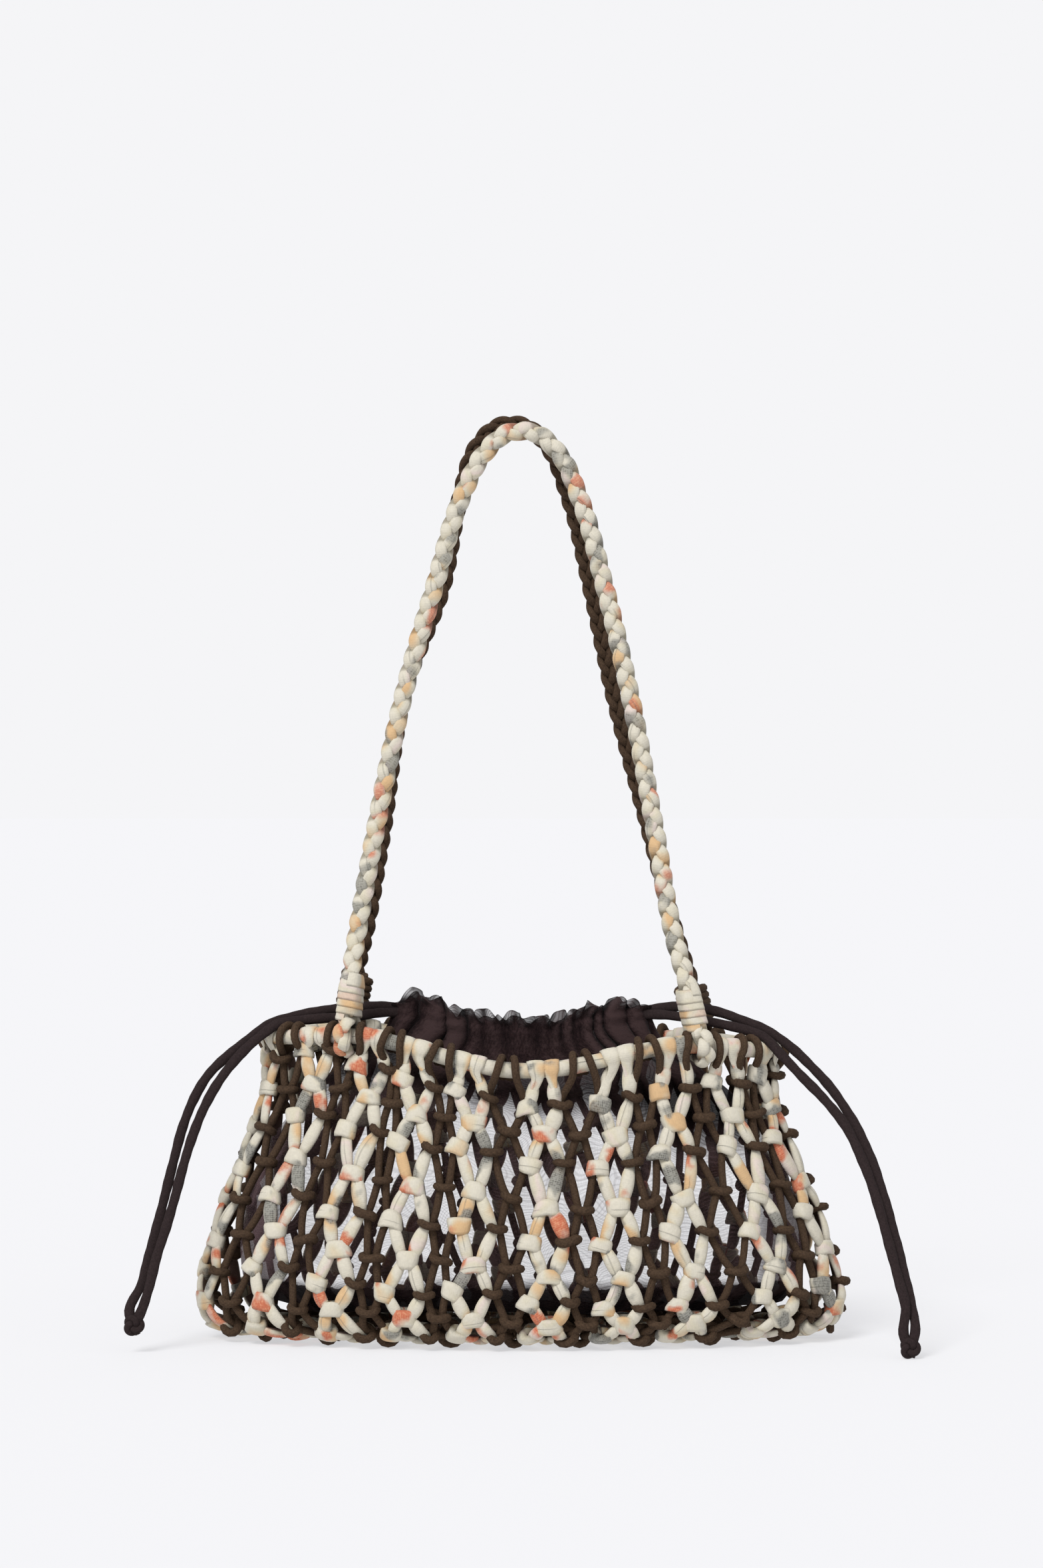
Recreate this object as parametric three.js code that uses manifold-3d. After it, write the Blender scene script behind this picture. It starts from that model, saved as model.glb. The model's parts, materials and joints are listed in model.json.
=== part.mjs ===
// Knotted net bag: a hooped rim, a net body, two braided straps and a drawstring lining pouch.
// Millimetres, +Z up. The front faces -Y and the origin is the middle of the base, on the floor.
import * as THREE from "three";
import { mergeVertices } from "three/addons/utils/BufferGeometryUtils.js";
import Module from "manifold-3d";

const wasm = await Module();
wasm.setup();

// Net body
const COLUMNS = 18; // pale knot chains round the bag
const NET_THICKNESS = 5;
const KNOT_HALF_WIDTH = 0.14; // share of a column
const KNOT_HALF_HEIGHT = 0.3; // share of a row
// one section for each row of knots, from the rim down, on the middle of the wall
const NET_SECTIONS = [
  { height: 150, halfLength: 126, halfDepth: 42 },
  { height: 125, halfLength: 128, halfDepth: 45 },
  { height: 99, halfLength: 136.5, halfDepth: 48.5 },
  { height: 72, halfLength: 147, halfDepth: 51.5 },
  { height: 44, halfLength: 155.5, halfDepth: 53 },
  { height: 18, halfLength: 159, halfDepth: 52 },
  { height: 3.4, halfLength: 141, halfDepth: 43 },
];
const BASE_HALF_LENGTH = 143;
const BASE_HALF_DEPTH = 45;
const BASE_GAP_PITCH = 34;
const BASE_GAPS_EACH_WAY = 3;

// Rim
const RIM_RADIUS = 4;
const RIM_SAG = 14; // middle of front and back below the strap feet
const RIM_SAG_REACH = 86; // the sag ends this far from the middle
const RIM_END_DROP = 3; // both ends below the strap feet
const RIM_LEAN = 3.5; // left end up and right end down by this much
const LOOP_CLEARANCE = 0.4; // from the rim to the loops that hang the net
const LOOP_THICKNESS = 2.4;
const LOOP_HALF_LENGTH = 0.21; // share of a column

// Straps
const STRAP_WIDTH = 9.4;
const STRAP_THICKNESS = 5.4;
const STRAP_FOOT_COLUMN = 1.58; // columns from each end of the bag
const STRAP_TURN_RADIUS = 7.7; // round the rim
const STRAP_LEG_APART = 3.1; // middle of a leg from the middle of its binding
const STRAP_LEG_FOOT = 8.5; // above the rim
const STRAP_LEG_TOP = 29; // above the rim
const STRAP_APEX_DEPTH = 8;
// each arch from its feet to its top: height, and where its left and right sides are
const FRONT_ARCH = [
  { height: 200, left: -81.3, right: 75.3 },
  { height: 250, left: -72.7, right: 66.5 },
  { height: 325, left: -57.1, right: 52.7 },
  { height: 376, left: -42.5, right: 40.7 },
  { height: 418, left: -29.8, right: 28.8 },
  { height: 440, left: -18.5, right: 18.5 },
  { height: 450, left: -7.5, right: 7.5 },
];
const BACK_ARCH = [
  { height: 200, left: -80, right: 78 },
  { height: 250, left: -71, right: 65 },
  { height: 325, left: -57.8, right: 45.2 },
  { height: 376, left: -40.3, right: 34.3 },
  { height: 420, left: -31.5, right: 23.5 },
  { height: 445, left: -23, right: 13 },
  { height: 455, left: -12.5, right: 2.5 },
];
const STRAP_ARCH_STEPS = 28;

// Bindings round the strap legs
const BINDING_FROM = 9.5; // above the rim
const BINDING_TO = 30;
const BINDING_TURNS = 4;
const BINDING_WALL = 2;
const BINDING_RIB = 0.6;
const BINDING_CLEARANCE = 0.75;

// Lining pouch
const LINING_THICKNESS = 1.2;
const LINING_COLUMNS = 44;
const NECK_SAG = 11; // middle of the drawn neck below its ends
const RUFFLE_WAVE = 2.2;
// sections from the bottom seam to the ruffled edge; pleat is the depth of the gathers
const LINING_SECTIONS = [
  { height: 20, halfLength: 133, halfDepth: 9, pleat: 0, sag: 0 },
  { height: 29, halfLength: 139, halfDepth: 31, pleat: 0, sag: 0 },
  { height: 62, halfLength: 138, halfDepth: 44.5, pleat: 0.4, sag: 0 },
  { height: 100, halfLength: 125, halfDepth: 42, pleat: 0.8, sag: 0 },
  { height: 128, halfLength: 103, halfDepth: 29, pleat: 1.2, sag: 0.3 },
  { height: 148, halfLength: 81, halfDepth: 19, pleat: 1.8, sag: 0.8 },
  { height: 160, halfLength: 67, halfDepth: 13.5, pleat: 2.2, sag: 1 },
  { height: 167, halfLength: 65, halfDepth: 12.5, pleat: 2.2, sag: 1 },
  { height: 175, halfLength: 68, halfDepth: 15, pleat: 2.8, sag: 1 },
];

// Drawstrings: routes from the casing to the knot, chosen along each cord
const DRAWSTRING_RADIUS = 2.4;
const DRAWSTRING_STEPS = 20;
const DRAWSTRING_SIDES = 8;
const ROUTE_LEFT_UPPER = [
  [-67.4, 2.5, 165], [-84, -1, 164.8], [-100, -5.5, 163.2], [-112, -8.2, 160.8], [-123.2, -11.2, 157.8],
  [-133, -13.6, 151.2], [-143.5, -15.5, 143], [-154.6, -18, 132.4], [-161.6, -21, 120.6],
  [-166.8, -24.5, 107], [-170.6, -28.5, 92], [-174.1, -32.5, 77], [-177.6, -37.5, 62], [-181.5, -42.7, 47],
  [-184.6, -48, 33], [-190.4, -53.6, 19.2],
];
const ROUTE_LEFT_LOWER = [
  [-69.4, -3.5, 162.4], [-84, -8, 160.6], [-99, -11.6, 159.8], [-110, -14, 158.9], [-119.6, -16.2, 157.6],
  [-130, -18.6, 150.6], [-140.8, -21.5, 140.2], [-149.6, -24.5, 128.6], [-156.4, -28, 116],
  [-161.6, -32, 102.5], [-165.7, -36, 88.5], [-169.4, -40.2, 73.5], [-173.6, -44.6, 58.5],
  [-177.8, -49.2, 44.5], [-180.8, -54, 31], [-185, -55, 18.4],
];
const ROUTE_RIGHT_UPPER = [
  [67.4, 2.5, 165], [84, -0.5, 165], [98, -5, 162.6], [111, -9, 158.2], [122.8, -12, 153.2],
  [133, -14, 146], [142.4, -16.4, 137.2], [151.8, -19.5, 127], [160.2, -24, 115], [167.6, -29.5, 101.5],
  [173.2, -36, 87], [177.5, -43, 72], [181.2, -50.2, 57], [184.5, -57.5, 42], [187.4, -65, 27],
  [188.9, -73.6, 11],
];
const ROUTE_RIGHT_LOWER = [
  [69.4, -3.5, 162], [84, -8.5, 159.6], [98, -12, 157.2], [109, -14.6, 154.8], [119.4, -17.2, 151.2],
  [128, -20.6, 142.6], [137.4, -23.6, 132.6], [148.4, -27, 121.4], [158.8, -32, 108.4], [165.6, -38, 94.4],
  [170.9, -44.4, 80], [174.9, -51, 65.6], [178.5, -57.8, 51], [181.8, -64.6, 37], [184.6, -71.4, 24],
  [183.5, -73.7, 10.6],
];
const KNOT_SIZE = 2.5;
const KNOT_CORD_RADIUS = 1.2;
const LEFT_KNOT = [-188, -55.5, 13.6];
const RIGHT_KNOT = [186.4, -74.5, 5.2];

// Helpers

function vector(x, y, z) {
  return new THREE.Vector3(x, y, z);
}

function signedVolume(points, faces) {
  let volume = 0;
  for (let i = 0; i < faces.length; i += 3) {
    const [a, b, c] = [points[faces[i]], points[faces[i + 1]], points[faces[i + 2]]];
    volume += a.dot(b.clone().cross(c)) / 6;
  }
  return volume;
}

function closedGeometry(points, faces) {
  const turned = signedVolume(points, faces) < 0 ? faces.slice().reverse() : faces;
  const geometry = new THREE.BufferGeometry().setFromPoints(points);
  geometry.setIndex(turned);
  return geometry;
}

// a closed skin over rings of points; an endless one joins the last ring to the first
function skin(rings, endless) {
  const sides = rings[0].length;
  const points = rings.flat();
  const faces = [];
  const steps = endless ? rings.length : rings.length - 1;
  for (let i = 0; i < steps; i++) {
    const here = i * sides;
    const next = ((i + 1) % rings.length) * sides;
    for (let j = 0; j < sides; j++) {
      const k = (j + 1) % sides;
      faces.push(here + j, here + k, next + k, here + j, next + k, next + j);
    }
  }
  if (!endless) {
    const last = (rings.length - 1) * sides;
    for (let j = 1; j < sides - 1; j++) {
      faces.push(0, j + 1, j);
      faces.push(last, last + j, last + j + 1);
    }
  }
  return closedGeometry(points, faces);
}

// a sheet of polygons given thickness: half out along each point's normal and half in
function thickSheet(points, polygons, thickness) {
  const normals = points.map(() => vector(0, 0, 0));
  for (const polygon of polygons) {
    const [a, b, c] = polygon.map((i) => points[i]);
    const d = points[polygon[polygon.length - 1]];
    const facing = c.clone().sub(a).cross(d.clone().sub(b));
    if (polygon.length === 3) facing.copy(b.clone().sub(a).cross(c.clone().sub(a)));
    polygon.forEach((i) => normals[i].add(facing));
  }
  normals.forEach((n) => n.normalize());
  const outer = points.map((p, i) => p.clone().addScaledVector(normals[i], thickness / 2));
  const inner = points.map((p, i) => p.clone().addScaledVector(normals[i], -thickness / 2));
  const count = points.length;
  const faces = [];
  const edges = new Map();
  for (const polygon of polygons) {
    for (let i = 1; i < polygon.length - 1; i++) {
      const [a, b, c] = [polygon[0], polygon[i], polygon[i + 1]];
      faces.push(a, b, c, count + a, count + c, count + b);
    }
    polygon.forEach((a, i) => {
      const b = polygon[(i + 1) % polygon.length];
      if (!edges.delete(`${b},${a}`)) edges.set(`${a},${b}`, [a, b]);
    });
  }
  for (const [a, b] of edges.values()) {
    faces.push(b, a, count + a, b, count + a, count + b);
  }
  return closedGeometry([...outer, ...inner], faces);
}

function solidOf(geometry) {
  const bare = geometry.clone();
  bare.deleteAttribute("normal");
  bare.deleteAttribute("uv");
  const merged = mergeVertices(bare, 1e-4);
  return new wasm.Manifold(new wasm.Mesh({
    numProp: 3,
    vertProperties: new Float32Array(merged.attributes.position.array),
    triVerts: new Uint32Array(merged.index.array),
  }));
}

function geometryOf(solid) {
  const mesh = solid.getMesh();
  const geometry = new THREE.BufferGeometry();
  geometry.setAttribute("position", new THREE.BufferAttribute(mesh.vertProperties, 3));
  geometry.setIndex(new THREE.BufferAttribute(mesh.triVerts, 1));
  return geometry;
}

// Ovals: share 0 is the left end, a quarter the front, a half the right end
const OVAL_STEPS = 360;
const ovalTables = new Map();

function ovalAngles(halfLength, halfDepth) {
  const key = `${halfLength.toFixed(3)} ${halfDepth.toFixed(3)}`;
  if (!ovalTables.has(key)) {
    const lengths = [0];
    for (let i = 0; i < OVAL_STEPS; i++) {
      const angle = ((i + 0.5) / OVAL_STEPS) * 2 * Math.PI;
      const speed = Math.hypot(halfLength * Math.sin(angle), halfDepth * Math.cos(angle));
      lengths.push(lengths[i] + speed);
    }
    ovalTables.set(key, lengths);
  }
  return ovalTables.get(key);
}

function ovalPoint(share, halfLength, halfDepth, height) {
  const lengths = ovalAngles(halfLength, halfDepth);
  const wanted = (share - Math.floor(share)) * lengths[OVAL_STEPS];
  let i = 0;
  while (lengths[i + 1] < wanted) i += 1;
  const part = (wanted - lengths[i]) / (lengths[i + 1] - lengths[i]);
  const angle = ((i + part) / OVAL_STEPS) * 2 * Math.PI;
  return vector(-halfLength * Math.cos(angle), -halfDepth * Math.sin(angle), height);
}

// how far the rim at this x lies above its plain height
function rimRise(x) {
  const reach = Math.min(1, Math.abs(x) / RIM_SAG_REACH);
  const outside = Math.max(0, Math.abs(x) - RIM_SAG_REACH) / (NET_SECTIONS[0].halfLength - RIM_SAG_REACH);
  const sag = RIM_SAG * Math.cos((reach * Math.PI) / 2) ** 2;
  return -sag - RIM_END_DROP * outside - (RIM_LEAN * x) / NET_SECTIONS[0].halfLength;
}

function rimPoint(column) {
  const { height, halfLength, halfDepth } = NET_SECTIONS[0];
  const point = ovalPoint(column / COLUMNS, halfLength, halfDepth, height);
  point.z += rimRise(point.x);
  return point;
}

const sectionCurve = new THREE.CatmullRomCurve3(
  NET_SECTIONS.map((s) => vector(s.height, s.halfLength, s.halfDepth)));
const LAST_ROW = NET_SECTIONS.length - 1;
const WALL_TOP_DROP = RIM_RADIUS + LOOP_CLEARANCE + LOOP_THICKNESS / 2;

// a point of the net's middle surface, by column round the bag and row down from the rim
function netPoint(column, row) {
  const share = row / LAST_ROW;
  const section = sectionCurve.getPoint(share);
  const point = ovalPoint(column / COLUMNS, section.y, section.z, section.x);
  const widest = NET_SECTIONS[0].halfLength;
  const rise = rimRise(THREE.MathUtils.clamp(point.x, -widest, widest));
  point.z += (rise - WALL_TOP_DROP) * (1 - share);
  return point;
}

// Pieces

function rimStations(column) {
  return [column - LOOP_HALF_LENGTH, column, column + LOOP_HALF_LENGTH, column + 0.5];
}

// ring of points round the rim's centre line
function rimSection(column, radius, sides) {
  const here = rimPoint(column);
  const along = rimPoint(column + 0.02).sub(rimPoint(column - 0.02)).normalize();
  const out = along.clone().cross(vector(0, 0, 1)).normalize();
  const up = out.clone().cross(along).normalize();
  return Array.from({ length: sides }, (_, i) => {
    const angle = ((i + 0.5) / sides) * 2 * Math.PI;
    return here.clone()
      .addScaledVector(out, radius * Math.cos(angle))
      .addScaledVector(up, radius * Math.sin(angle));
  });
}

const RIM_SIDES = 8;

function rimRing() {
  const rings = [];
  for (let column = 0; column < COLUMNS; column++) {
    for (const station of rimStations(column)) rings.push(rimSection(station, RIM_RADIUS, RIM_SIDES));
  }
  return skin(rings, true);
}

// a sleeve of the net that holds it on the rim
function rimLoop(column) {
  const stations = rimStations(column).slice(0, 3);
  const inside = RIM_RADIUS + LOOP_CLEARANCE;
  const outside = inside + LOOP_THICKNESS;
  const outer = stations.map((s) => rimSection(s, outside, RIM_SIDES));
  const inner = stations.map((s) => rimSection(s, inside, RIM_SIDES)).reverse();
  return skin([...outer, ...inner], true);
}

// the net wall: a diamond at each knot, a strip along each strand, and gaps between
function netLattice() {
  const points = [];
  const numbers = new Map();
  const polygons = [];
  const corner = (column, row) => {
    const wrapped = (column + 2 * COLUMNS) % COLUMNS;
    const key = `${wrapped.toFixed(4)} ${row.toFixed(4)}`;
    if (!numbers.has(key)) {
      numbers.set(key, points.length);
      points.push(netPoint(wrapped, row));
    }
    return numbers.get(key);
  };
  for (let row = 0; row <= LAST_ROW; row++) {
    for (let i = 0; i < COLUMNS; i++) {
      const column = i + (row % 2) / 2;
      const left = [column - KNOT_HALF_WIDTH, row];
      const right = [column + KNOT_HALF_WIDTH, row];
      const above = [column, row - KNOT_HALF_HEIGHT];
      const below = [column, row + KNOT_HALF_HEIGHT];
      const outline = [left, right];
      if (row < LAST_ROW) outline.splice(1, 0, below);
      if (row > 0) outline.push(above);
      polygons.push(outline.map((p) => corner(...p)));
      if (row === LAST_ROW) continue;
      for (const side of [-1, 1]) {
        const upperOuter = side < 0 ? left : right;
        const lowerKnot = column + side / 2;
        const lowerTop = [lowerKnot, row + 1 - KNOT_HALF_HEIGHT];
        const lowerInner = [lowerKnot - side * KNOT_HALF_WIDTH, row + 1];
        const strip = [upperOuter, lowerTop, lowerInner, below].map((p) => corner(...p));
        polygons.push(side < 0 ? strip : strip.reverse());
      }
    }
  }
  return thickSheet(points, polygons, NET_THICKNESS);
}

function netBase() {
  const outline = new THREE.Shape();
  outline.absellipse(0, 0, BASE_HALF_LENGTH, BASE_HALF_DEPTH, 0, 2 * Math.PI);
  for (let i = -BASE_GAPS_EACH_WAY; i <= BASE_GAPS_EACH_WAY; i++) {
    const middle = i * BASE_GAP_PITCH;
    const reach = Math.sqrt(1 - (middle / (BASE_HALF_LENGTH - 6)) ** 2);
    for (const side of [-1, 1]) {
      const nearEdge = side * 5;
      const farEdge = side * (BASE_HALF_DEPTH - 9) * reach;
      const gap = new THREE.Path();
      gap.moveTo(middle, nearEdge);
      gap.lineTo(middle + 12, (nearEdge + farEdge) / 2);
      gap.lineTo(middle, farEdge);
      gap.lineTo(middle - 12, (nearEdge + farEdge) / 2);
      gap.closePath();
      outline.holes.push(gap);
    }
  }
  return new THREE.ExtrudeGeometry(outline, { depth: NET_THICKNESS, bevelEnabled: false, curveSegments: 18 });
}

function netBody() {
  let net = solidOf(netLattice()).add(solidOf(netBase()));
  for (let column = 0; column < COLUMNS; column++) net = net.add(solidOf(rimLoop(column)));
  return geometryOf(net);
}

// the frame of a strap foot: its place on the rim, and the ways along the rim, out and up the leg
function strapFoot(side, front) {
  const nearLeft = front ? STRAP_FOOT_COLUMN : COLUMNS - STRAP_FOOT_COLUMN;
  const nearRight = front ? COLUMNS / 2 - STRAP_FOOT_COLUMN : COLUMNS / 2 + STRAP_FOOT_COLUMN;
  const column = side < 0 ? nearLeft : nearRight;
  const place = rimPoint(column);
  const out = rimPoint(column + 0.02).sub(rimPoint(column - 0.02)).cross(vector(0, 0, 1)).normalize();
  const [above] = front ? FRONT_ARCH : BACK_ARCH;
  const aboveX = side < 0 ? above.left : above.right;
  const up = vector(aboveX - place.x, -0.1 * place.y, above.height - place.z).normalize();
  out.addScaledVector(up, -out.dot(up)).normalize();
  const along = up.clone().cross(out).normalize();
  return { place, along, out, up };
}

function footPoint(foot, outward, upward) {
  return foot.place.clone().addScaledVector(foot.out, outward).addScaledVector(foot.up, upward);
}

// places down a leg, round under the rim and up again, from the inner end to the outer leg
function footStations(foot) {
  const places = [
    footPoint(foot, -STRAP_LEG_APART, STRAP_LEG_TOP),
    footPoint(foot, -STRAP_LEG_APART, STRAP_LEG_FOOT),
    footPoint(foot, -STRAP_TURN_RADIUS + 1, STRAP_LEG_FOOT / 2),
  ];
  const steps = 7;
  for (let i = 0; i <= steps; i++) {
    const angle = (Math.PI * i) / steps;
    places.push(footPoint(foot, -STRAP_TURN_RADIUS * Math.cos(angle), -STRAP_TURN_RADIUS * Math.sin(angle)));
  }
  places.push(footPoint(foot, STRAP_TURN_RADIUS - 1, STRAP_LEG_FOOT / 2));
  places.push(footPoint(foot, STRAP_LEG_APART, STRAP_LEG_FOOT));
  places.push(footPoint(foot, STRAP_LEG_APART, STRAP_LEG_TOP));
  return places;
}

function strapArch(front, leftStart, rightStart) {
  const rows = front ? FRONT_ARCH : BACK_ARCH;
  const apexDepth = front ? -STRAP_APEX_DEPTH : STRAP_APEX_DEPTH;
  const lowest = leftStart.z;
  const highest = rows[rows.length - 1].height;
  const archPoint = (x, height, start) => {
    const risen = (height - lowest) / (highest - lowest);
    return vector(x, THREE.MathUtils.lerp(start.y, apexDepth, Math.sqrt(risen)), height);
  };
  const left = rows.map((row) => archPoint(row.left, row.height, leftStart));
  const right = rows.map((row) => archPoint(row.right, row.height, rightStart)).reverse();
  return new THREE.CatmullRomCurve3([leftStart, ...left, ...right, rightStart], false, "centripetal");
}

// a flat braid as one solid: its width lies along the rim at the feet and in the arch's own plane above
function strap(front) {
  const leftFoot = strapFoot(-1, front);
  const rightFoot = strapFoot(1, front);
  const leftPlaces = footStations(leftFoot);
  const rightPlaces = footStations(rightFoot).reverse();
  const arch = strapArch(front, leftPlaces[leftPlaces.length - 1], rightPlaces[0]);
  const archPlaces = arch.getPoints(STRAP_ARCH_STEPS).slice(1, -1);
  const places = [...leftPlaces, ...archPlaces, ...rightPlaces];
  const frontWay = vector(0, front ? -1 : 1, 0);
  const firstWide = leftFoot.along.clone();
  let wide = firstWide;
  const rings = places.map((place, i) => {
    const before = places[Math.max(0, i - 1)];
    const after = places[Math.min(places.length - 1, i + 1)];
    const along = after.clone().sub(before).normalize();
    const inArch = i >= leftPlaces.length && i < leftPlaces.length + archPlaces.length;
    const target = inArch ? along.clone().cross(frontWay).normalize() : wide.clone();
    if (target.dot(wide) < 0) target.negate();
    wide = target.addScaledVector(along, -target.dot(along)).normalize();
    const thick = along.clone().cross(wide).normalize();
    return Array.from({ length: 8 }, (_, j) => {
      const angle = ((j + 0.5) / 8) * 2 * Math.PI;
      const rounding = 1 / Math.cos(Math.PI / 8);
      return place.clone()
        .addScaledVector(wide, (STRAP_WIDTH / 2) * rounding * Math.cos(angle))
        .addScaledVector(thick, (STRAP_THICKNESS / 2) * rounding * Math.sin(angle));
    });
  });
  return skin(rings, false);
}

// a ribbed sleeve wound round the two legs of a strap foot
function binding(side, front) {
  const foot = strapFoot(side, front);
  const boreAcross = STRAP_WIDTH / 2 + BINDING_CLEARANCE;
  const boreThrough = STRAP_LEG_APART + STRAP_THICKNESS / 2 + BINDING_CLEARANCE;
  const sides = 12;
  const ring = (height, extra) => Array.from({ length: sides }, (_, i) => {
    const angle = ((i + 0.5) / sides) * 2 * Math.PI;
    const square = (value) => Math.sign(value) * Math.sqrt(Math.abs(value));
    return footPoint(foot, (boreThrough + extra) * square(Math.sin(angle)), height)
      .addScaledVector(foot.along, (boreAcross + extra) * square(Math.cos(angle)));
  });
  const rings = [];
  for (let i = 0; i <= 2 * BINDING_TURNS; i++) {
    const height = BINDING_FROM + ((BINDING_TO - BINDING_FROM) * i) / (2 * BINDING_TURNS);
    rings.push(ring(height, BINDING_WALL + (i % 2 ? BINDING_RIB : 0)));
  }
  rings.push(ring(BINDING_TO, 0));
  rings.push(ring(BINDING_FROM, 0));
  return skin(rings, true);
}

function neckDrop(x) {
  const reach = Math.min(1, Math.abs(x) / LINING_SECTIONS[LINING_SECTIONS.length - 2].halfLength);
  return -NECK_SAG * (1 - reach ** 2);
}

function liningPouch() {
  const points = [];
  const polygons = [];
  const lastLevel = LINING_SECTIONS.length - 1;
  LINING_SECTIONS.forEach((section, level) => {
    for (let i = 0; i < LINING_COLUMNS; i++) {
      const gather = (i % 2 ? 0.5 : -0.5) * section.pleat;
      const point = ovalPoint((i + 0.5) / LINING_COLUMNS, section.halfLength + gather,
        section.halfDepth + gather, section.height);
      point.z += section.sag * neckDrop(point.x);
      if (level === lastLevel) point.z += RUFFLE_WAVE * Math.sin(2.3 * i) * Math.cos(0.9 * i);
      points.push(point);
    }
  });
  for (let level = 0; level < lastLevel; level++) {
    for (let i = 0; i < LINING_COLUMNS; i++) {
      const k = (i + 1) % LINING_COLUMNS;
      const here = level * LINING_COLUMNS;
      const next = here + LINING_COLUMNS;
      polygons.push([here + i, here + k, next + k, next + i]);
    }
  }
  const half = LINING_COLUMNS / 2;
  for (let i = 0; i < half - 1; i++) {
    polygons.push([LINING_COLUMNS - 1 - i, LINING_COLUMNS - 2 - i, i + 1, i]);
  }
  return thickSheet(points, polygons, LINING_THICKNESS);
}

function drawstring(route) {
  const outline = new THREE.Shape();
  outline.absarc(0, 0, DRAWSTRING_RADIUS, 0, 2 * Math.PI);
  const path = new THREE.CatmullRomCurve3(route.map((p) => vector(...p)), false, "centripetal");
  return new THREE.ExtrudeGeometry(outline, {
    steps: DRAWSTRING_STEPS,
    curveSegments: DRAWSTRING_SIDES / 2,
    bevelEnabled: false,
    extrudePath: path,
  });
}

function cordKnot() {
  return new THREE.TorusKnotGeometry(KNOT_SIZE, KNOT_CORD_RADIUS, 34, 5, 2, 3).rotateX(Math.PI / 2);
}

// Assembly

const group = new THREE.Group();
group.name = "net_bag";

function addPiece(parent, name, geometry, colour, roughness) {
  const piece = new THREE.Mesh(geometry, new THREE.MeshStandardMaterial({ color: colour, roughness }));
  piece.name = name;
  parent.add(piece);
  return piece;
}

const PALE = 0xdedacb;
const DARK = 0x463d32;
const SHEER = 0x40363b;

addPiece(group, "rim_hoop", rimRing(), PALE, 0.85);
addPiece(group, "net_body", netBody(), PALE, 0.85);

const straps = new THREE.Group();
straps.name = "straps";
group.add(straps);
addPiece(straps, "strap_front", strap(true), PALE, 0.85);
addPiece(straps, "strap_back", strap(false), DARK, 0.9);
addPiece(straps, "binding_front_left", binding(-1, true), PALE, 0.85);
addPiece(straps, "binding_front_right", binding(1, true), PALE, 0.85);
addPiece(straps, "binding_back_left", binding(-1, false), DARK, 0.9);
addPiece(straps, "binding_back_right", binding(1, false), DARK, 0.9);

addPiece(group, "lining_pouch", liningPouch(), SHEER, 0.8);

const drawstrings = new THREE.Group();
drawstrings.name = "drawstrings";
group.add(drawstrings);
addPiece(drawstrings, "drawstring_left_upper", drawstring(ROUTE_LEFT_UPPER), SHEER, 0.8);
addPiece(drawstrings, "drawstring_left_lower", drawstring(ROUTE_LEFT_LOWER), SHEER, 0.8);
addPiece(drawstrings, "drawstring_right_upper", drawstring(ROUTE_RIGHT_UPPER), SHEER, 0.8);
addPiece(drawstrings, "drawstring_right_lower", drawstring(ROUTE_RIGHT_LOWER), SHEER, 0.8);
addPiece(drawstrings, "drawstring_knot_left", cordKnot(), SHEER, 0.8).position.set(...LEFT_KNOT);
addPiece(drawstrings, "drawstring_knot_right", cordKnot(), SHEER, 0.8).position.set(...RIGHT_KNOT);

export default group;
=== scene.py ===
# Knotted net bag: a hooped rim, a net of pale printed and dark cords, two braided straps,
# and a sheer drawstring lining. Metres, +Z up, the front faces -Y.
import json
import math

import bpy
import numpy as np
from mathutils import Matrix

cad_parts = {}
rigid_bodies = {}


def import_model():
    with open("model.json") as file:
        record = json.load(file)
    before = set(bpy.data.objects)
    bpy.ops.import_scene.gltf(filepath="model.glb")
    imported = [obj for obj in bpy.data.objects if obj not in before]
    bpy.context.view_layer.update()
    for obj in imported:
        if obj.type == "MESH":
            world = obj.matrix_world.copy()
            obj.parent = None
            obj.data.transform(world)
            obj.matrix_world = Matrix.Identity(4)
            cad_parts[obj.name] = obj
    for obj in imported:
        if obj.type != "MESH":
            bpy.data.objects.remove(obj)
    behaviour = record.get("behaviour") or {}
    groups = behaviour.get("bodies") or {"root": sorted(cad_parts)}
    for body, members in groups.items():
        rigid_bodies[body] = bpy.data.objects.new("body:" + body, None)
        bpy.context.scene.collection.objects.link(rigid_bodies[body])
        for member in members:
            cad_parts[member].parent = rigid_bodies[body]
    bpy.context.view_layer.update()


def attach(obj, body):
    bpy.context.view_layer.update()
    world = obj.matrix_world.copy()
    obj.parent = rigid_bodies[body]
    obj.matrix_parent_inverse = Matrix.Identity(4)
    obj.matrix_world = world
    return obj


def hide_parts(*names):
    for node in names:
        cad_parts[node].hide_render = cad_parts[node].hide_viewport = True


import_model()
scene = bpy.context.scene
dice = np.random.default_rng(11)
MM = 0.001
UP = np.array((0.0, 0.0, 1.0))
OVAL_STEPS = 180
VECTOR = "FLOAT_VECTOR"

# Net: height, half length and half depth of the wall's middle, by row of knots down from the rim
COLUMNS = 18
NET_ROWS = np.array((0, 1, 2, 3, 4, 5, 5.55, 6.1, 7, 8))
NET_SECTIONS = MM * np.array((
    (150, 126, 42), (125, 128, 45), (99, 136.5, 48.5), (72, 147, 51.5), (44, 155.5, 53), (18, 159, 52),
    (9.4, 153.5, 49), (6.4, 143, 42.5), (6.2, 124, 21), (6.2, 106, 0)))
LAST_WALL_ROW = 6
UNDER_ROWS = (5.7, 6.5)  # where the wall turns under into the base
NET_STEP = 0.04  # columns or rows over which the ways along the net are taken
RIM_STEP = 0.03
SPREAD_ROWS = (0.27, 1.55, 3.03, 4.33, 5.6, 6.95)  # knots at the sides of each chain
CLOSED_ROWS = (0.9, 2.35, 3.72, 4.9, 6.25, 8.0)  # knots where each chain draws together
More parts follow.
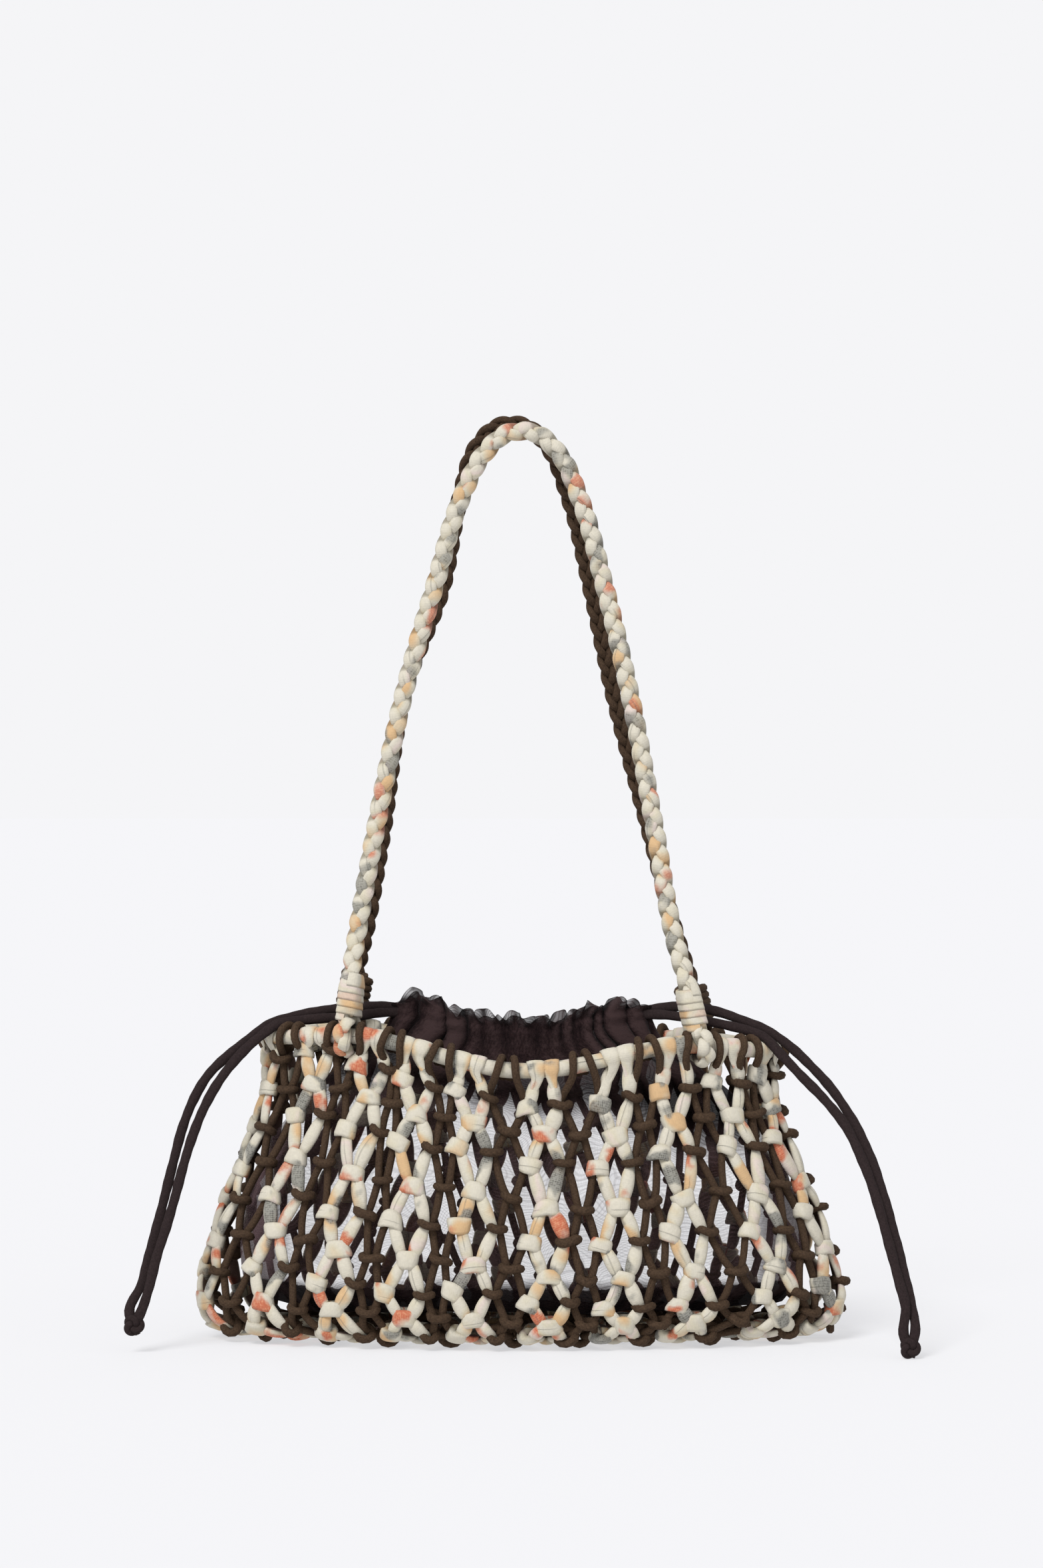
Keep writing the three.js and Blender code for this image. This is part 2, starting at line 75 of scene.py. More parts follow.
PALE_SPREAD = 0.22  # columns from the middle of a pale chain
DARK_SPREAD = 0.295
BAND_SPREAD = 0.24
TURN_SPREAD = 0.26
CLOSED_HALF = 0.055
# how far the pale chains of the front stand from even spacing, at the rim and lower down
RIM_SHIFTS = (0.25, 0.21, 0.15, -0.19, -0.31, -0.15, 0.02, -0.09, -0.22, -0.4)
LOW_SHIFTS = (0.25, 0.23, 0.14, 0.05, -0.10, -0.16, -0.22, -0.32, -0.2, -0.33)
DARK_RIM_SHIFTS = {0: 0.05, 8: -0.05}  # the dark pairs that make room for the drawstrings
RIM_SHIFT_ROWS = 3  # rows over which the one gives way to the other
EVEN_ROW = 7.5  # where the spacing is even again, and the rows that it takes
EVEN_FADE = 1.5
# how far the knots of each of these chains hang below their rows, and where that fades out
ROW_SHIFTS = (0.0, -0.2, 0.06, 0.2, 0.1, 0.32, 0.5, 0.42, 0.3, 0.1)
HANG_ROWS = (3.6, 6.4)
SPREAD_JITTER = 0.07  # chance shifts of the knots, in rows and columns
CLOSED_JITTER = 0.06
SWAY = 0.03
PALE_SPACING = 1.7 * MM  # of the points along the cords
DARK_SPACING = 2.2 * MM
LOOP_SPACING = 1.6 * MM
PALE_HALF_WIDTH = 3.25 * MM
PALE_HALF_THICKNESS = 2.0 * MM
DARK_RADIUS = 1.92 * MM
BAND_HALF_WIDTH = 5.9 * MM
BAND_HALF_HEIGHT = 3.75 * MM
BAND_HALF_DEPTH = 4.4 * MM
LOOP_HALF_WIDTH = 4.1 * MM
LOOP_HALF_THICKNESS = 0.8 * MM
LOOP_HALF_GAP = 0.13  # columns from the middle of a pale pair to its loops over the rim
UNDER_RIM_HALF_GAP = 0.15
DARK_LOOP_HALF_GAP = 0.1
FOOT_HALF_GAP = 0.22  # columns that a dark pair parts to each side of a strap foot
LOOP_LEAN = 0.7 * MM  # how far a loop slants along the rim
DARK_LOOP_LEAN = 1.8 * MM
LOOP_ANGLES = (232, 190, 140, 90, 45, 0, -32)  # round the rim, from behind and below
LOOP_GIRTHS = (0.8, 0.92, 1.0, 1.06, 1.04, 0.98, 0.82, 0.4)
# how far the cords stand off the wall at the knots, and how thick the pale ones are there
SPREAD_LIFT = 0.4 * MM
CLOSED_LIFT = 0.2 * MM
DARK_LIFT = -1.2 * MM
SPREAD_GIRTH = 0.66
CLOSED_GIRTH = 0.64
UNDER_RIM_GIRTH = 0.7
HIDDEN_END_GIRTH = 0.35
PALE_BELLY = 0.9 * MM  # between the knots the pale cords stand out and swell
PALE_SWELL = (0.98, 1.16)
WANDER = 0.022
PRINT_REACH = 40  # metres of print that the strips are cut from
BAND_PRINT_REACH = 20.0
# a band's section up its outside and down its inside: height, lift in mm, and painted shade in its creases
BAND_SECTION = ((-1.0, -0.2, 0.12), (-0.62, 0.35, 0), (0.62, 0.35, 0), (1.0, -0.15, 0.12),
                (0.93, -3.2, 0.8), (-0.93, -3.2, 0.8))
BAND_INSET = 0.8 * MM
BAND_STEPS = 16
BAND_SQUARENESS = 0.84
# bands of pale cloth: taper, arch of the top edge, point of the lower one, lean, and pull of a corner in mm
BANDS = {
    "band_straight": (0.04, -0.4 * MM, 0.4 * MM, 0.03, -0.5),
    "band_pointed": (0.15, -1.0 * MM, 1.6 * MM, 0.0, 0.4),
    "band_flared": (0.2, 0.5 * MM, 0.2 * MM, 0.08, -0.3),
    "band_spread": (-0.17, 0.8 * MM, 0.6 * MM, -0.06, 0.5),
    "band_drawn": (0.11, -0.6 * MM, 1.0 * MM, -0.1, -0.6),
    "band_narrow": (-0.09, 0.3 * MM, 0.9 * MM, 0.12, 0.2),
}
# turns of dark cord: half width, half depth, slant, and bend of the ends
TURNS = {
    "turn_level": (3.6 * MM, 3.8 * MM, 0.0, 0.8 * MM),
    "turn_slanted": (4.2 * MM, 3.7 * MM, 0.6 * MM, 0.5 * MM),
    "turn_bent": (3.9 * MM, 3.9 * MM, -0.4 * MM, 1.3 * MM),
}
TURN_STEPS = 12
TURN_SIDES = 8
TURN_SQUARENESS = 0.95
TURN_RADIUS_SHARE = 1.12

# Rim
RIM_RADIUS = 4 * MM
RIM_SAG = 14 * MM
RIM_SAG_REACH = 86 * MM
RIM_END_DROP = 3 * MM
RIM_LEAN = 3.5 * MM
WALL_TOP_DROP = 5.6 * MM
RIM_STEPS = 240

# Straps
FRONT_FEET = (1.72, 1.65)  # columns from the left and right ends of the bag
BACK_FEET = (1.64, 1.5)
STRAP_TURN_RADIUS = 7.7 * MM
STRAP_LEG_APART = 3.1 * MM
STRAP_LEG_FOOT = 8.5 * MM
STRAP_LEG_TOP = 29 * MM
STRAP_APEX_DEPTH = 8 * MM
STRAP_SPACING = 1 * MM
# height, and where the left and right sides of each arch are
FRONT_ARCH = MM * np.array((
    (200, -81.3, 75.3), (250, -72.7, 66.5), (325, -57.1, 52.7), (376, -42.5, 40.7),
    (418, -29.8, 28.8), (440, -18.5, 18.5), (450, -7.5, 7.5)))
BACK_ARCH = MM * np.array((
    (200, -78.8, 78), (250, -70, 65), (325, -58, 45.2), (376, -39.2, 34.3),
    (420, -30.6, 23.5), (445, -22.4, 13), (455, -12.2, 2.5)))
# how far a strand swings and rises, the length of a plait, and the swelling on top
FRONT_BRAID = {"reach": 2.4 * MM, "rise": 1.6 * MM, "period": 28.5 * MM, "swelling": 0.14}
BACK_BRAID = {"reach": 2.6 * MM, "rise": 1.6 * MM, "period": 27 * MM, "swelling": 0.0}
FRONT_STRAND = (2.65 * MM, 1.4 * MM)  # half width and half thickness
BACK_STRAND = (DARK_RADIUS, 1.8 * MM)
BINDING_FROM = 8.5 * MM
BINDING_TO = 30 * MM
BINDING_TUCK = 0.16
BINDING_HALF_WIDTH = 4.85 * MM
BINDING_HALF_DEPTH = 6.3 * MM
BINDING_TURNS = 5
BINDING_MARGIN = 2 * MM
BINDING_STEPS = 26  # points to a turn
BINDING_SQUARENESS = 0.62

# Lining: height, half length, half depth, depth of gathers and share of the neck's sag
LINING_SECTIONS = np.array((MM, MM, MM, MM, 1)) * np.array((
    (13, 124, 0, 0, 0), (14.5, 130, 9, 0, 0), (26, 138, 31, 0.2, 0), (62, 138, 44.5, 0.5, 0),
    (100, 124, 42, 0.7, 0), (128, 100, 29, 1.0, 0.3), (148, 76, 19, 1.6, 0.8), (157, 64, 14.5, 2.0, 1),
    (160, 62, 13.3, 1.8, 1), (163.5, 61, 13.2, 2.1, 1), (166.5, 60, 12.3, 1.8, 1), (169, 61, 13.4, 1.8, 1),
    (171, 62, 14.6, 2.0, 1)))
# how far the drawn neck hangs below its ends, along its length
NECK_DROPS = MM * np.array((
    (-66, 2.5), (-54, -1.5), (-45, 0.5), (-36, 6), (-21, 9.5), (-5, 11), (14, 12), (25, 8.5), (40, 4.5),
    (50, 2.5), (58, 3.5), (66, 5.5)))
# how much lower the close-woven upper part of the pouch reaches, along its length
CLOSE_DROPS = MM * np.array((
    (-130, 0), (-60, 0), (-20, 4), (15, 12), (40, 8), (60, 18), (85, 28), (110, 24), (128, 10)))
STRING_EXIT_HEIGHT = 163.4 * MM
NECK_DRAG = 6
SEAM_BAND_FRONT = 37 * MM  # how far the close bottom seam reaches up the cloth
SEAM_BAND_BACK = 20 * MM
HEM_WAVE = 1.6 * MM  # how far the bottom seam waves, and rises to its ends
HEM_LIFT = 5 * MM
SLACK_WAVE = 0.9 * MM
PINCH_SHIFT = 3 * MM
FRILL_WAVE = 2.4 * MM
FRILL_SCALLOP = 6.2 * MM
# heights between which each thing sets in on the lining, and distances from its middle
FRILL_HEIGHTS = (0.1665, 0.171)
PINCH_HEIGHTS = (0.15, 0.163)
PINCH_REACH = (0.052, 0.062)
SLACK_FROM = (0.03, 0.06)
SLACK_TO = (0.1, 0.13)
HEM_HEIGHTS = (0.014, 0.04)
HEM_LIFT_REACH = (0.09, 0.13)
CLOSE_HEIGHTS = (0.113, 0.135)
CASING_HEIGHTS = (0.14, 0.154)
THIN_HEIGHTS = (0.1668, 0.1694)
EDGE_HEIGHTS = (0.1703, 0.171)
SEAM_HEIGHTS = (0.0225, 0.0245)
SIDE_FOLD_REACH = (0.108, 0.128)
# how much the sheer cloth hides of what is behind it, and what its closer parts add
SHEER_COVER = 0.15
CLOSE_COVER = 0.67
CASING_COVER = 0.16
EDGE_COVER = 0.2
FULL_COVER = 0.97
FINE_SHARES = (0.06, 0.9)  # depth of the fine and broad gathers, everywhere and more where they gather
BROAD_SHARES = (0.14, 1.5)
# ways round the pouch, with their widths: fine gathers at the front and back, and broad rolls
FRONT_GATHERS = (2.35, 0.32)
BACK_GATHERS = (-0.9, 0.8)
ROLLS = ((0.6, 0.38), (2.8, 0.26), (-2.2, 0.7))
LINING_ROUNDS = 720
LINING_STEPS = (2, 3, 7, 8, 8, 10, 5, 3, 3, 3, 3, 8)  # rows of faces between the sections
LINING_LEVELS = sum(LINING_STEPS) + 1

# Drawstrings: the routes from the casing to the knots, and the knots, in millimetres
DRAWSTRING_WIDTH = 5 * MM
DRAWSTRING_HALF_THICKNESS = 1.5 * MM
DRAWSTRING_SPACING = 2 * MM
ROUTES = {
    "left_upper": (
        (-60.5, 1.5, 164), (-67.4, 2.5, 165), (-84, -1, 164.8), (-100, -5.5, 163.2), (-112, -8.2, 160.8),
        (-123.2, -11.2, 157.8), (-133, -13.6, 151.2), (-143.5, -15.5, 143), (-154.6, -18, 132.4),
        (-161.6, -21, 120.6), (-166.8, -24.5, 107), (-170.6, -28.5, 92), (-174.1, -32.5, 77),
        (-177.6, -37.5, 62), (-181.5, -42.7, 47), (-184.6, -48, 33), (-190.2, -53.6, 19.2),
        (-188.8, -55.2, 15)),
    "left_lower": (
        (-61, -2, 162.4), (-69.4, -3.5, 162.2), (-84, -8, 160.6), (-99, -11.6, 159.8),
        (-110, -14, 158.9), (-119.6, -16.2, 157.6), (-130, -18.6, 150.6), (-140.8, -21.5, 140.2),
        (-149.6, -24.5, 128.6), (-156.4, -28, 116), (-161.6, -32, 102.5), (-165.7, -36, 88.5),
        (-169.4, -40.2, 73.5), (-173.6, -44.6, 58.5), (-177.8, -49.2, 44.5), (-180.8, -54, 31),
        (-185.2, -55, 18.4), (-187.2, -55.4, 14.6)),
    "right_upper": (
        (59.5, 1.5, 162.6), (67.4, 2.5, 164), (84, -0.5, 165), (98, -5, 162.6), (111, -9, 158.2),
        (122.8, -12, 153.2), (133, -14, 146), (142.4, -16.4, 137.2), (151.8, -19.5, 127),
        (160.2, -24, 115), (167.6, -29.5, 101.5), (173.2, -36, 87), (177.5, -43, 72),
        (181.2, -50.2, 57), (184.5, -57.5, 42), (187.4, -65, 27), (188.7, -73.6, 11),
        (187.2, -74.2, 6.8)),
    "right_lower": (
        (60, -2, 161.2), (69.4, -3.5, 161.2), (84, -8.5, 159.6), (98, -12, 157.2), (109, -14.6, 154.8),
        (119.4, -17.2, 151.2), (128, -20.6, 142.6), (137.4, -23.6, 132.6), (148.4, -27, 121.4),
        (158.8, -32, 108.4), (165.6, -38, 94.4), (170.9, -44.4, 80), (174.9, -51, 65.6),
        (178.5, -57.8, 51), (181.8, -64.6, 37), (184.6, -71.4, 24), (183.7, -73.7, 10.6),
        (185.4, -74.3, 6.4)),
}
KNOTS = {"left": (-188, -55.5, 13.6), "right": (186.4, -74.5, 5.2)}
KNOT_RING = 2.5
KNOT_WAVE = 1.25
KNOT_TAIL = np.array(((0.6, 0.2, -0.5), (1.4, -0.4, -2.6), (2.2, -0.8, -4.4)))
TAIL_CLEARANCE = 1.7 * MM
TAIL_GIRTH = 0.75
KNOT_HALF_WIDTH = 1.75 * MM
KNOT_HALF_THICKNESS = 1.45 * MM

# Camera and light
PHOTO_HEIGHT = 2358
FOCAL_PIXELS = 6032
SENSOR_HEIGHT = 36
CAMERA_PLACE = (0, -2.0, 0.276)
BACKDROP = (0.913, 0.913, 0.93)
ROOM_LIGHT = (0.56, 0.56, 0.575)
FLOOR_COLOUR = (0.32, 0.32, 0.325)
FLOOR_GLOW = 0.555
FLOOR_REACH = 30


# Small helpers

def unit(vectors):
    lengths = np.linalg.norm(vectors, axis=-1, keepdims=True)
    return vectors / np.maximum(lengths, 1e-12)


def square_to(vectors, along):
    """The part of each vector that is square to the way along, at unit length."""
    vectors = np.asarray(vectors, float)
    inner = np.sum(vectors * along, axis=-1, keepdims=True)
    return unit(vectors - inner * along)


def through(places, values, wanted):
    """Smooth values at the wanted places, on a curve through the given ones."""
    places = np.asarray(places, float)
    values = np.asarray(values, float)
    slopes = np.gradient(values, places, axis=0)
    index = np.clip(np.searchsorted(places, wanted, side="right") - 1, 0, len(places) - 2)
    gap = (places[index + 1] - places[index])[..., None]
    t = (wanted - places[index])[..., None] / gap
    start = (1 + 2 * t) * (1 - t) ** 2 * values[index] + t * (1 - t) ** 2 * gap * slopes[index]
    end = t ** 2 * (3 - 2 * t) * values[index + 1] + t ** 2 * (t - 1) * gap * slopes[index + 1]
    return start + end


def smooth_path(points, spacing):
    """Evenly spaced rows along a smooth curve; columns after the third are carried along."""
    points = np.asarray(points, float)
    gaps = np.linalg.norm(np.diff(points[:, :3], axis=0), axis=1)
    places = np.concatenate(([0], np.cumsum(gaps)))
    count = max(3, round(places[-1] / spacing) + 1)
    return through(places, points, np.linspace(0, places[-1], count))


def ways_along(points, closed=False):
    if closed:
        return unit(np.roll(points, -1, axis=0) - np.roll(points, 1, axis=0))
    return unit(np.gradient(points, axis=0))


def smoothstep(low, high, value):
    t = np.clip((value - low) / (high - low), 0, 1)
    return t * t * (3 - 2 * t)


# The bag's own surface

def oval(column, half_length, half_depth):
    """X and Y on ovals, by columns of equal length from the left end round by the front."""
    column, half_length, half_depth = np.broadcast_arrays(
        np.asarray(column, float), half_length, half_depth)
    middles = (np.arange(OVAL_STEPS) + 0.5) / OVAL_STEPS * 2 * math.pi
    steps = np.hypot(half_length[..., None] * np.sin(middles), half_depth[..., None] * np.cos(middles))
    lengths = np.concatenate((np.zeros(column.shape + (1,)), np.cumsum(steps, axis=-1)), axis=-1)
    wanted = (column / COLUMNS % 1) * lengths[..., -1]
    index = np.clip((lengths <= wanted[..., None]).sum(axis=-1) - 1, 0, OVAL_STEPS - 1)
    before = np.take_along_axis(lengths, index[..., None], -1)[..., 0]
    after = np.take_along_axis(lengths, index[..., None] + 1, -1)[..., 0]
    angle = (index + (wanted - before) / (after - before)) / OVAL_STEPS * 2 * math.pi
    return -half_length * np.cos(angle), -half_depth * np.sin(angle)


def rim_rise(x):
    widest = NET_SECTIONS[0, 1]
    x = np.clip(x, -widest, widest)
    reach = np.minimum(1, np.abs(x) / RIM_SAG_REACH)
    outside = np.maximum(0, np.abs(x) - RIM_SAG_REACH) / (widest - RIM_SAG_REACH)
    return -RIM_SAG * np.cos(reach * math.pi / 2) ** 2 - RIM_END_DROP * outside - RIM_LEAN * x / widest


def rim_point(column):
    height, half_length, half_depth = NET_SECTIONS[0]
    x, y = oval(column, half_length, half_depth)
    return np.stack((x, y, height + rim_rise(x)), axis=-1)


def rim_frame(column):
    """Place on the rim, and the ways along it, out and up."""
    column = np.asarray(column, float)
    along = unit(rim_point(column + RIM_STEP) - rim_point(column - RIM_STEP))
    out = unit(np.cross(along, UP))
    return rim_point(column), along, out, np.cross(out, along)


def net_point(column, row):
    row = np.asarray(row, float)
    section = through(NET_ROWS, NET_SECTIONS, row)
    x, y = oval(column, section[..., 1], np.maximum(section[..., 2], 0))
    drop = (rim_rise(x) - WALL_TOP_DROP) * np.maximum(0, 1 - row / LAST_WALL_ROW)
    return np.stack((x, y, section[..., 0] + drop), axis=-1)


def net_frame(column, row):
    """Place on the net, and the ways round it, down it and outward."""
    column, row = np.broadcast_arrays(np.asarray(column, float), np.asarray(row, float))
    low = np.maximum(row - NET_STEP, 0)
    high = np.minimum(row + NET_STEP, NET_ROWS[-1])
    down = unit(net_point(column, high) - net_point(column, low))
    across = unit(net_point(column + NET_STEP, row) - net_point(column - NET_STEP, row))
    under = smoothstep(*UNDER_ROWS, row)[..., None]
    out = unit((1 - under) * unit(np.cross(down, across)) - under * UP)
    across = square_to(across + 1e-6 * np.array((1, 0, 0)), out)
    return net_point(column, row), across, np.cross(across, out), out


def hang(number, row):
    """How far a chain's knots hang below a row, fading out towards the base."""
    number = number % COLUMNS
    shift = ROW_SHIFTS[min(number, COLUMNS - number)]
    return shift * (1 - float(smoothstep(*HANG_ROWS, row)))


def chain_column(number, row):
    """Where a pale chain stands at a row: near its number, with the shifts of the front."""
    turn = number // COLUMNS
    number = number % COLUMNS
    if number <= COLUMNS / 2:
        rim_shift, low_shift = RIM_SHIFTS[number], LOW_SHIFTS[number]
    else:
        part = (number - COLUMNS / 2) / (COLUMNS / 2)
        rim_shift = RIM_SHIFTS[-1] + part * (RIM_SHIFTS[0] - RIM_SHIFTS[-1])
        low_shift = LOW_SHIFTS[-1] + part * (LOW_SHIFTS[0] - LOW_SHIFTS[-1])
    near_rim = np.clip(1 - row / RIM_SHIFT_ROWS, 0, 1)
    uneven = np.clip((EVEN_ROW - row) / EVEN_FADE, 0, 1)
    return number + turn * COLUMNS + uneven * (near_rim * rim_shift + (1 - near_rim) * low_shift)


# Nodes and meshes

def add_node(tree, kind, inputs=None, **settings):
    """A node with its settings; inputs are values, or sockets to join."""
    node = tree.nodes.new(kind)
    for name, value in settings.items():
        setattr(node, name, value)
    for socket, value in (inputs or {}).items():
        if isinstance(value, bpy.types.NodeSocket):
            tree.links.new(value, node.inputs[socket])
        else:
            node.inputs[socket].default_value = value
    return node


def calc(tree, operation, *values):
    node = add_node(tree, "ShaderNodeMath", dict(enumerate(values)), operation=operation)
    return node.outputs[0]


def geometry_tree(name, inputs):
    tree = bpy.data.node_groups.new(name, "GeometryNodeTree")
    tree.interface.new_socket("Geometry", in_out="OUTPUT", socket_type="NodeSocketGeometry")
    for label, kind in (("Geometry", "Geometry"),) + inputs:
        tree.interface.new_socket(label, in_out="INPUT", socket_type="NodeSocket" + kind)
    return tree, add_node(tree, "NodeGroupInput").outputs, add_node(tree, "NodeGroupOutput")


def named(tree, name, kind="FLOAT"):
    return add_node(tree, "GeometryNodeInputNamedAttribute", {"Name": name}, data_type=kind).outputs[0]


def store(tree, geometry, name, value, kind="FLOAT", domain="POINT"):
    node = add_node(tree, "GeometryNodeStoreNamedAttribute",
                    {"Geometry": geometry, "Name": name, "Value": value}, data_type=kind, domain=domain)
    return node.outputs[0]


def end_tree(tree, group_out, geometry, material):
    smooth = add_node(tree, "GeometryNodeSetShadeSmooth", {0: geometry})
    real = add_node(tree, "GeometryNodeRealizeInstances", {0: smooth.outputs[0]})
    painted = add_node(tree, "GeometryNodeSetMaterial", {"Geometry": real.outputs[0], "Material": material})
    tree.links.new(painted.outputs[0], group_out.inputs[0])


def parted(tree, vector):
    """The three parts of a vector."""
    return add_node(tree, "ShaderNodeSeparateXYZ", {0: vector}).outputs


def joined(tree, *parts):
    """A vector from its parts."""
    return add_node(tree, "ShaderNodeCombineXYZ", dict(enumerate(parts))).outputs[0]


def cord_sweep_tree():
    """Sweeps an oval section along each line of a mesh, flat towards face_way."""
    tree, sizes, group_out = geometry_tree("cord_sweep", (
        ("Half Width", "Float"), ("Half Thickness", "Float"), ("Sides", "Int"), ("Material", "Material")))
    line = add_node(tree, "GeometryNodeMeshToCurve", {"Mesh": sizes["Geometry"]}).outputs[0]
    turned = add_node(tree, "GeometryNodeSetCurveNormal",
                      {"Curve": line, "Normal": named(tree, "face_way", VECTOR)}, mode="FREE")
    length = add_node(tree, "GeometryNodeSplineParameter").outputs["Length"]
    along = calc(tree, "ADD", length, named(tree, "print_shift"))
    marked = store(tree, turned.outputs[0], "along", along)
    circle = add_node(tree, "GeometryNodeCurvePrimitiveCircle",
                      {"Resolution": sizes["Sides"], "Radius": 1.0})
    position = add_node(tree, "GeometryNodeInputPosition").outputs[0]
    spot = parted(tree, position)
    oblong = joined(tree, calc(tree, "MULTIPLY", spot[0], sizes["Half Thickness"]),
                    calc(tree, "MULTIPLY", spot[1], sizes["Half Width"]))
    section = add_node(tree, "GeometryNodeSetPosition", {"Geometry": circle.outputs[0], "Position": oblong})
    section = store(tree, section.outputs[0], "around", position, VECTOR)
    tube = add_node(tree, "GeometryNodeCurveToMesh", {
        "Curve": marked, "Profile Curve": section, "Scale": named(tree, "girth"), "Fill Caps": True})
    around = parted(tree, named(tree, "around", VECTOR))
    strip = joined(tree, named(tree, "along"), around[1], around[0])
    tube = store(tree, tube.outputs[0], "strip", strip, VECTOR)
    end_tree(tree, group_out, tube, sizes["Material"])
    return tree


def knot_tree():
    """Puts a picked shape on each point, turned by its axes, with its own part of the print."""
    tree, sizes, group_out = geometry_tree("knots_on_points", (
        ("Shapes", "Collection"), ("Material", "Material"), ("Seed", "Int")))
    points = add_node(tree, "GeometryNodeMeshToPoints", {"Mesh": sizes["Geometry"]})
    turn = add_node(tree, "FunctionNodeAxesToRotation", {
        "Primary Axis": named(tree, "outward", VECTOR),
        "Secondary Axis": named(tree, "across", VECTOR)}, primary_axis="Z", secondary_axis="X")
    shapes = add_node(tree, "GeometryNodeCollectionInfo",
                      {"Collection": sizes["Shapes"], "Separate Children": True})
    placed = add_node(tree, "GeometryNodeInstanceOnPoints", {
        "Points": points.outputs[0], "Instance": shapes.outputs[0], "Pick Instance": True,
        "Instance Index": named(tree, "pick", "INT"), "Rotation": turn.outputs[0],
        "Scale": named(tree, "size", VECTOR)})
    chance = add_node(tree, "FunctionNodeRandomValue",
                      {"Max": BAND_PRINT_REACH, "Seed": sizes["Seed"]}, data_type="FLOAT")
    shifted = store(tree, placed.outputs[0], "print_shift", chance.outputs[1], domain="INSTANCE")
    real = add_node(tree, "GeometryNodeRealizeInstances", {0: shifted})
    strip = add_node(tree, "ShaderNodeVectorMath", {
        0: named(tree, "strip", VECTOR), 1: joined(tree, named(tree, "print_shift"))}, operation="ADD")
    marked = store(tree, real.outputs[0], "strip", strip.outputs[0], VECTOR)
    end_tree(tree, group_out, marked, sizes["Material"])
    return tree


def grow(name, seed_mesh, tree, values):
    """A plain mesh object from what a tree makes of a seed mesh."""
    carrier = bpy.data.objects.new(name + "_seed", seed_mesh)
    scene.collection.objects.link(carrier)
    modifier = carrier.modifiers.new("grow", "NODES")
    modifier.node_group = tree
    for item in tree.interface.items_tree:
        if item.in_out == "INPUT" and item.name in values:
            modifier[item.identifier] = values[item.name]
    depsgraph = bpy.context.evaluated_depsgraph_get()
    mesh = bpy.data.meshes.new_from_object(carrier.evaluated_get(depsgraph), depsgraph=depsgraph)
    carrier.modifiers.remove(modifier)
    bpy.data.objects.remove(carrier)
    bpy.data.meshes.remove(seed_mesh)
    mesh.name = name
    piece = bpy.data.objects.new(name, mesh)
    scene.collection.objects.link(piece)
    return piece


def write_attributes(mesh, **fields):
    """Values on the points of a mesh, by name: rows of three are vectors, whole numbers stay whole."""
    for name, values in fields.items():
        plain = "INT" if values.dtype == np.int32 else "FLOAT"
        kind, field = (VECTOR, "vector") if values.ndim == 2 else (plain, "value")
        mesh.attributes.new(name, kind, "POINT").data.foreach_set(field, np.ravel(values))


def line_mesh(name, lines):
    """A mesh of bare lines: each has points, face_way, girth, shift, the painted shade of its creases, and
    closed.
    """
    points, edges, facing, girths, shifts, crease_shades = [], [], [], [], [], []
    start = 0
    for line in lines:
        count = len(line["points"])
        ring = np.arange(start, start + count)
        pairs = np.stack((ring, np.roll(ring, -1)), axis=1)
        edges.append(pairs if line.get("closed") else pairs[:-1])
        points.append(line["points"])
        facing.append(line["face_way"])
        girths.append(np.broadcast_to(line.get("girth", 1.0), count))
        shifts.append(np.full(count, line.get("shift", 0.0)))
        crease_shades.append(np.broadcast_to(line.get("tuck", 0.0), count))
        start += count
    mesh = bpy.data.meshes.new(name)
    mesh.from_pydata(np.concatenate(points).tolist(), np.concatenate(edges).tolist(), [])
    write_attributes(mesh, face_way=np.concatenate(facing), girth=np.concatenate(girths),
                     print_shift=np.concatenate(shifts), tuck=np.concatenate(crease_shades))
    return mesh


CORD_SWEEP = cord_sweep_tree()
KNOTS_ON_POINTS = knot_tree()


def swept(name, lines, half_width, half_thickness, sides, material):
    return grow(name, line_mesh(name, lines), CORD_SWEEP, {
        "Half Width": half_width, "Half Thickness": half_thickness, "Sides": sides, "Material": material})


def ride_for(piece, node):
    """The piece rides on the bag and stands for a CAD node, which it hides."""
    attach(piece, "root")
    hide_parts(node)


# Finishes

def new_finish(name, roughness, specular):
    material = bpy.data.materials.new(name)
    material.use_nodes = True
    tree = material.node_tree
    shader = tree.nodes["Principled BSDF"]
    shader.inputs["Roughness"].default_value = roughness
    shader.inputs["Specular IOR Level"].default_value = specular
    return material, tree, shader


def attribute(tree, name):
    return add_node(tree, "ShaderNodeAttribute", attribute_name=name)


def noise(tree, where, scale, detail, roughness=0.5):
    node = add_node(tree, "ShaderNodeTexNoise",
                    {"Vector": where, "Scale": scale, "Detail": detail, "Roughness": roughness})
    return node.outputs[0]


def ramp(tree, value, stops):
    """Colour ramp; stops are (place, colour)."""
    node = add_node(tree, "ShaderNodeValToRGB", {0: value})
    elements = node.color_ramp.elements
    while len(elements) < len(stops):
        elements.new(0.5)
    for element, (place, colour) in zip(elements, stops):
        element.position = place
        element.color = (*colour, 1)
    return node.outputs[0]


def spread(tree, value, low, high, to_low=0.0, to_high=1.0):
    node = add_node(tree, "ShaderNodeMapRange", {
        "Value": value, "From Min": low, "From Max": high, "To Min": to_low, "To Max": to_high},
        interpolation_type="SMOOTHSTEP")
    return node.outputs[0]


def blend(tree, share, first, second, how="MIX"):
    node = add_node(tree, "ShaderNodeMix", data_type="RGBA", blend_type=how)
    for socket, value in zip((node.inputs[0], node.inputs[6], node.inputs[7]), (share, first, second)):
        if isinstance(value, bpy.types.NodeSocket):
            tree.links.new(value, socket)
        else:
            socket.default_value = value if isinstance(value, float) else (*value, 1)
    return node.outputs[2]


def ripple(tree, value, period):
    """A wave from 0 to 1 over a length."""
    turned = calc(tree, "MULTIPLY", value, 2 * math.pi / period)
    return calc(tree, "MULTIPLY_ADD", calc(tree, "SINE", turned), 0.5, 0.5)


